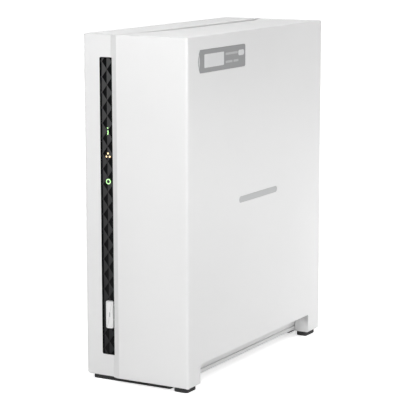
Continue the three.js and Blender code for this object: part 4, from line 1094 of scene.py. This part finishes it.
def camera():
    """The camera's place: its direction, and the point it looks at seen from the box's own middle."""
    azimuth, elevation, roll = (math.radians(a) for a in (29.804, 9.701, -0.085))
    distance = 0.9708
    back = Vector((math.sin(azimuth) * math.cos(elevation), -math.cos(azimuth) * math.cos(elevation),
                   math.sin(elevation)))
    right = Vector((math.cos(azimuth), math.sin(azimuth), 0.0))
    up = back.cross(right)
    turn = Matrix.Rotation(roll, 3, back)
    right, up = turn @ right, turn @ up
    target = Vector((0.5, -0.5, 94)) * MM + (-4.679 * right - 3.555 * up) * MM
    data = bpy.data.cameras.new("camera")
    data.sensor_width = 36
    data.lens = 154.04
    data.clip_start = 0.05
    made = bpy.data.objects.new("camera", data)
    bpy.context.scene.collection.objects.link(made)
    basis = Matrix((right, up, back)).transposed().to_4x4()
    made.matrix_world = Matrix.Translation(target + back * distance) @ basis
    bpy.context.scene.camera = made


def area_light(name, place, target, size, power):
    data = bpy.data.lights.new(name, "AREA")
    data.shape = "RECTANGLE"
    data.size, data.size_y = size
    data.energy = power
    made = bpy.data.objects.new(name, data)
    bpy.context.scene.collection.objects.link(made)
    made.visible_camera = False
    made.location = place
    made.rotation_euler = (Vector(target) - Vector(place)).to_track_quat("-Z", "Y").to_euler()
    return made


# Each light: its place, the point it faces, its two sides and its power in watts.
LIGHTS = {
    "front_key": ((0.6, -1.05, 0.45), (0, 0, 0.09), (0.3, 0.3), 2.85),
    "front_top": ((0.0, -0.45, 0.5), (0, -0.08, 0.15), (0.4, 0.2), 1.0),
    "front_near": ((0.22, -0.42, 0.42), (0.01, -0.08, 0.16), (0.2, 0.2), 1.0),
    "right_rear_near": ((0.2, 0.16, 0.08), (0.03, 0.06, 0.07), (0.15, 0.1), 0.11),
    "right_rear_low": ((0.25, 0.2, 0.05), (0.03, 0.075, 0.06), (0.1, 0.1), 0.05),
    "top_rear_right": ((0.4, 0.5, 0.7), (0, 0.02, 0.19), (0.4, 0.4), 2.3),
    "top_near": ((0.0, -0.1, 0.6), (0, 0, 0.09), (0.3, 0.5), 0.14),
    "rear_left": ((-0.6, 1.1, 0.7), (0, 0, 0.09), (0.8, 0.5), 2.43),
    "left": ((-1.3, 0.55, 0.5), (0, 0, 0.09), (0.6, 0.8), 3.2),
}
# A further light, which only draws highlights along the rounded edges.
GLINT = ((0.55, -0.38, 0.08), (0.03, -0.08, 0.08), (0.1, 0.15), 2.0)


def lights():
    for name, settings in LIGHTS.items():
        area_light(name, *settings)
    glint = area_light("edge_glint", *GLINT)
    glint.visible_diffuse = False


SKY_LIGHT = 0.15  # even light from the surroundings
SKY_SEEN = 1.05  # what the camera sees there


def world():
    """White where the camera sees it, and a darker, even grey for the light it gives."""
    made = bpy.data.worlds.new("studio")
    bpy.context.scene.world = made
    made.use_nodes = True
    tree = made.node_tree
    seen = tree.nodes.new("ShaderNodeLightPath").outputs["Is Camera Ray"]
    strength = tree.nodes.new("ShaderNodeMapRange")
    strength.inputs["To Min"].default_value = SKY_LIGHT
    strength.inputs["To Max"].default_value = SKY_SEEN
    tree.links.new(seen, strength.inputs["Value"])
    background = tree.nodes["Background"]
    background.inputs["Color"].default_value = (1, 1, 1, 1)
    tree.links.new(strength.outputs["Result"], background.inputs["Strength"])


def floor():
    """A pale floor, lifted towards white for the camera alone, and less near the box, where its shadow is."""
    s = Shader("floor", 0.6, Specular_IOR_Level=0.0)
    cloud = s.noise(3.0, 2.0)
    s.colour(s.mix(cloud, rgb(0.86, 0.86, 0.86), rgb(0.9, 0.9, 0.9)))
    seen = s.node("ShaderNodeLightPath").outputs["Is Camera Ray"]
    away = s.node("ShaderNodeVectorMath", {0: s.place}, operation="LENGTH").outputs["Value"]
    s.put(s.bsdf, "Emission Color", rgb(1, 1, 1))
    s.put(s.bsdf, "Emission Strength", s.math("MULTIPLY", seen, s.span(away, 0.62, 1.05, 0.3, 0.5)))
    bm = bmesh.new()
    bmesh.ops.create_grid(bm, x_segments=1, y_segments=1, size=4.0)
    mesh = bpy.data.meshes.new("floor")
    bm.to_mesh(mesh)
    bm.free()
    mesh.materials.append(s.material)
    made = bpy.data.objects.new("floor", mesh)
    bpy.context.scene.collection.objects.link(made)


bpy.context.scene.view_settings.view_transform = "Standard"
left_housing()
right_cover()
feet()
strip()
lamps()
key()
badge()
side_mark()
polish("rear_panel", "white_plastic", 0.3 * MM)
fan()
screws()
boards()
drive()
camera()
lights()
world()
floor()
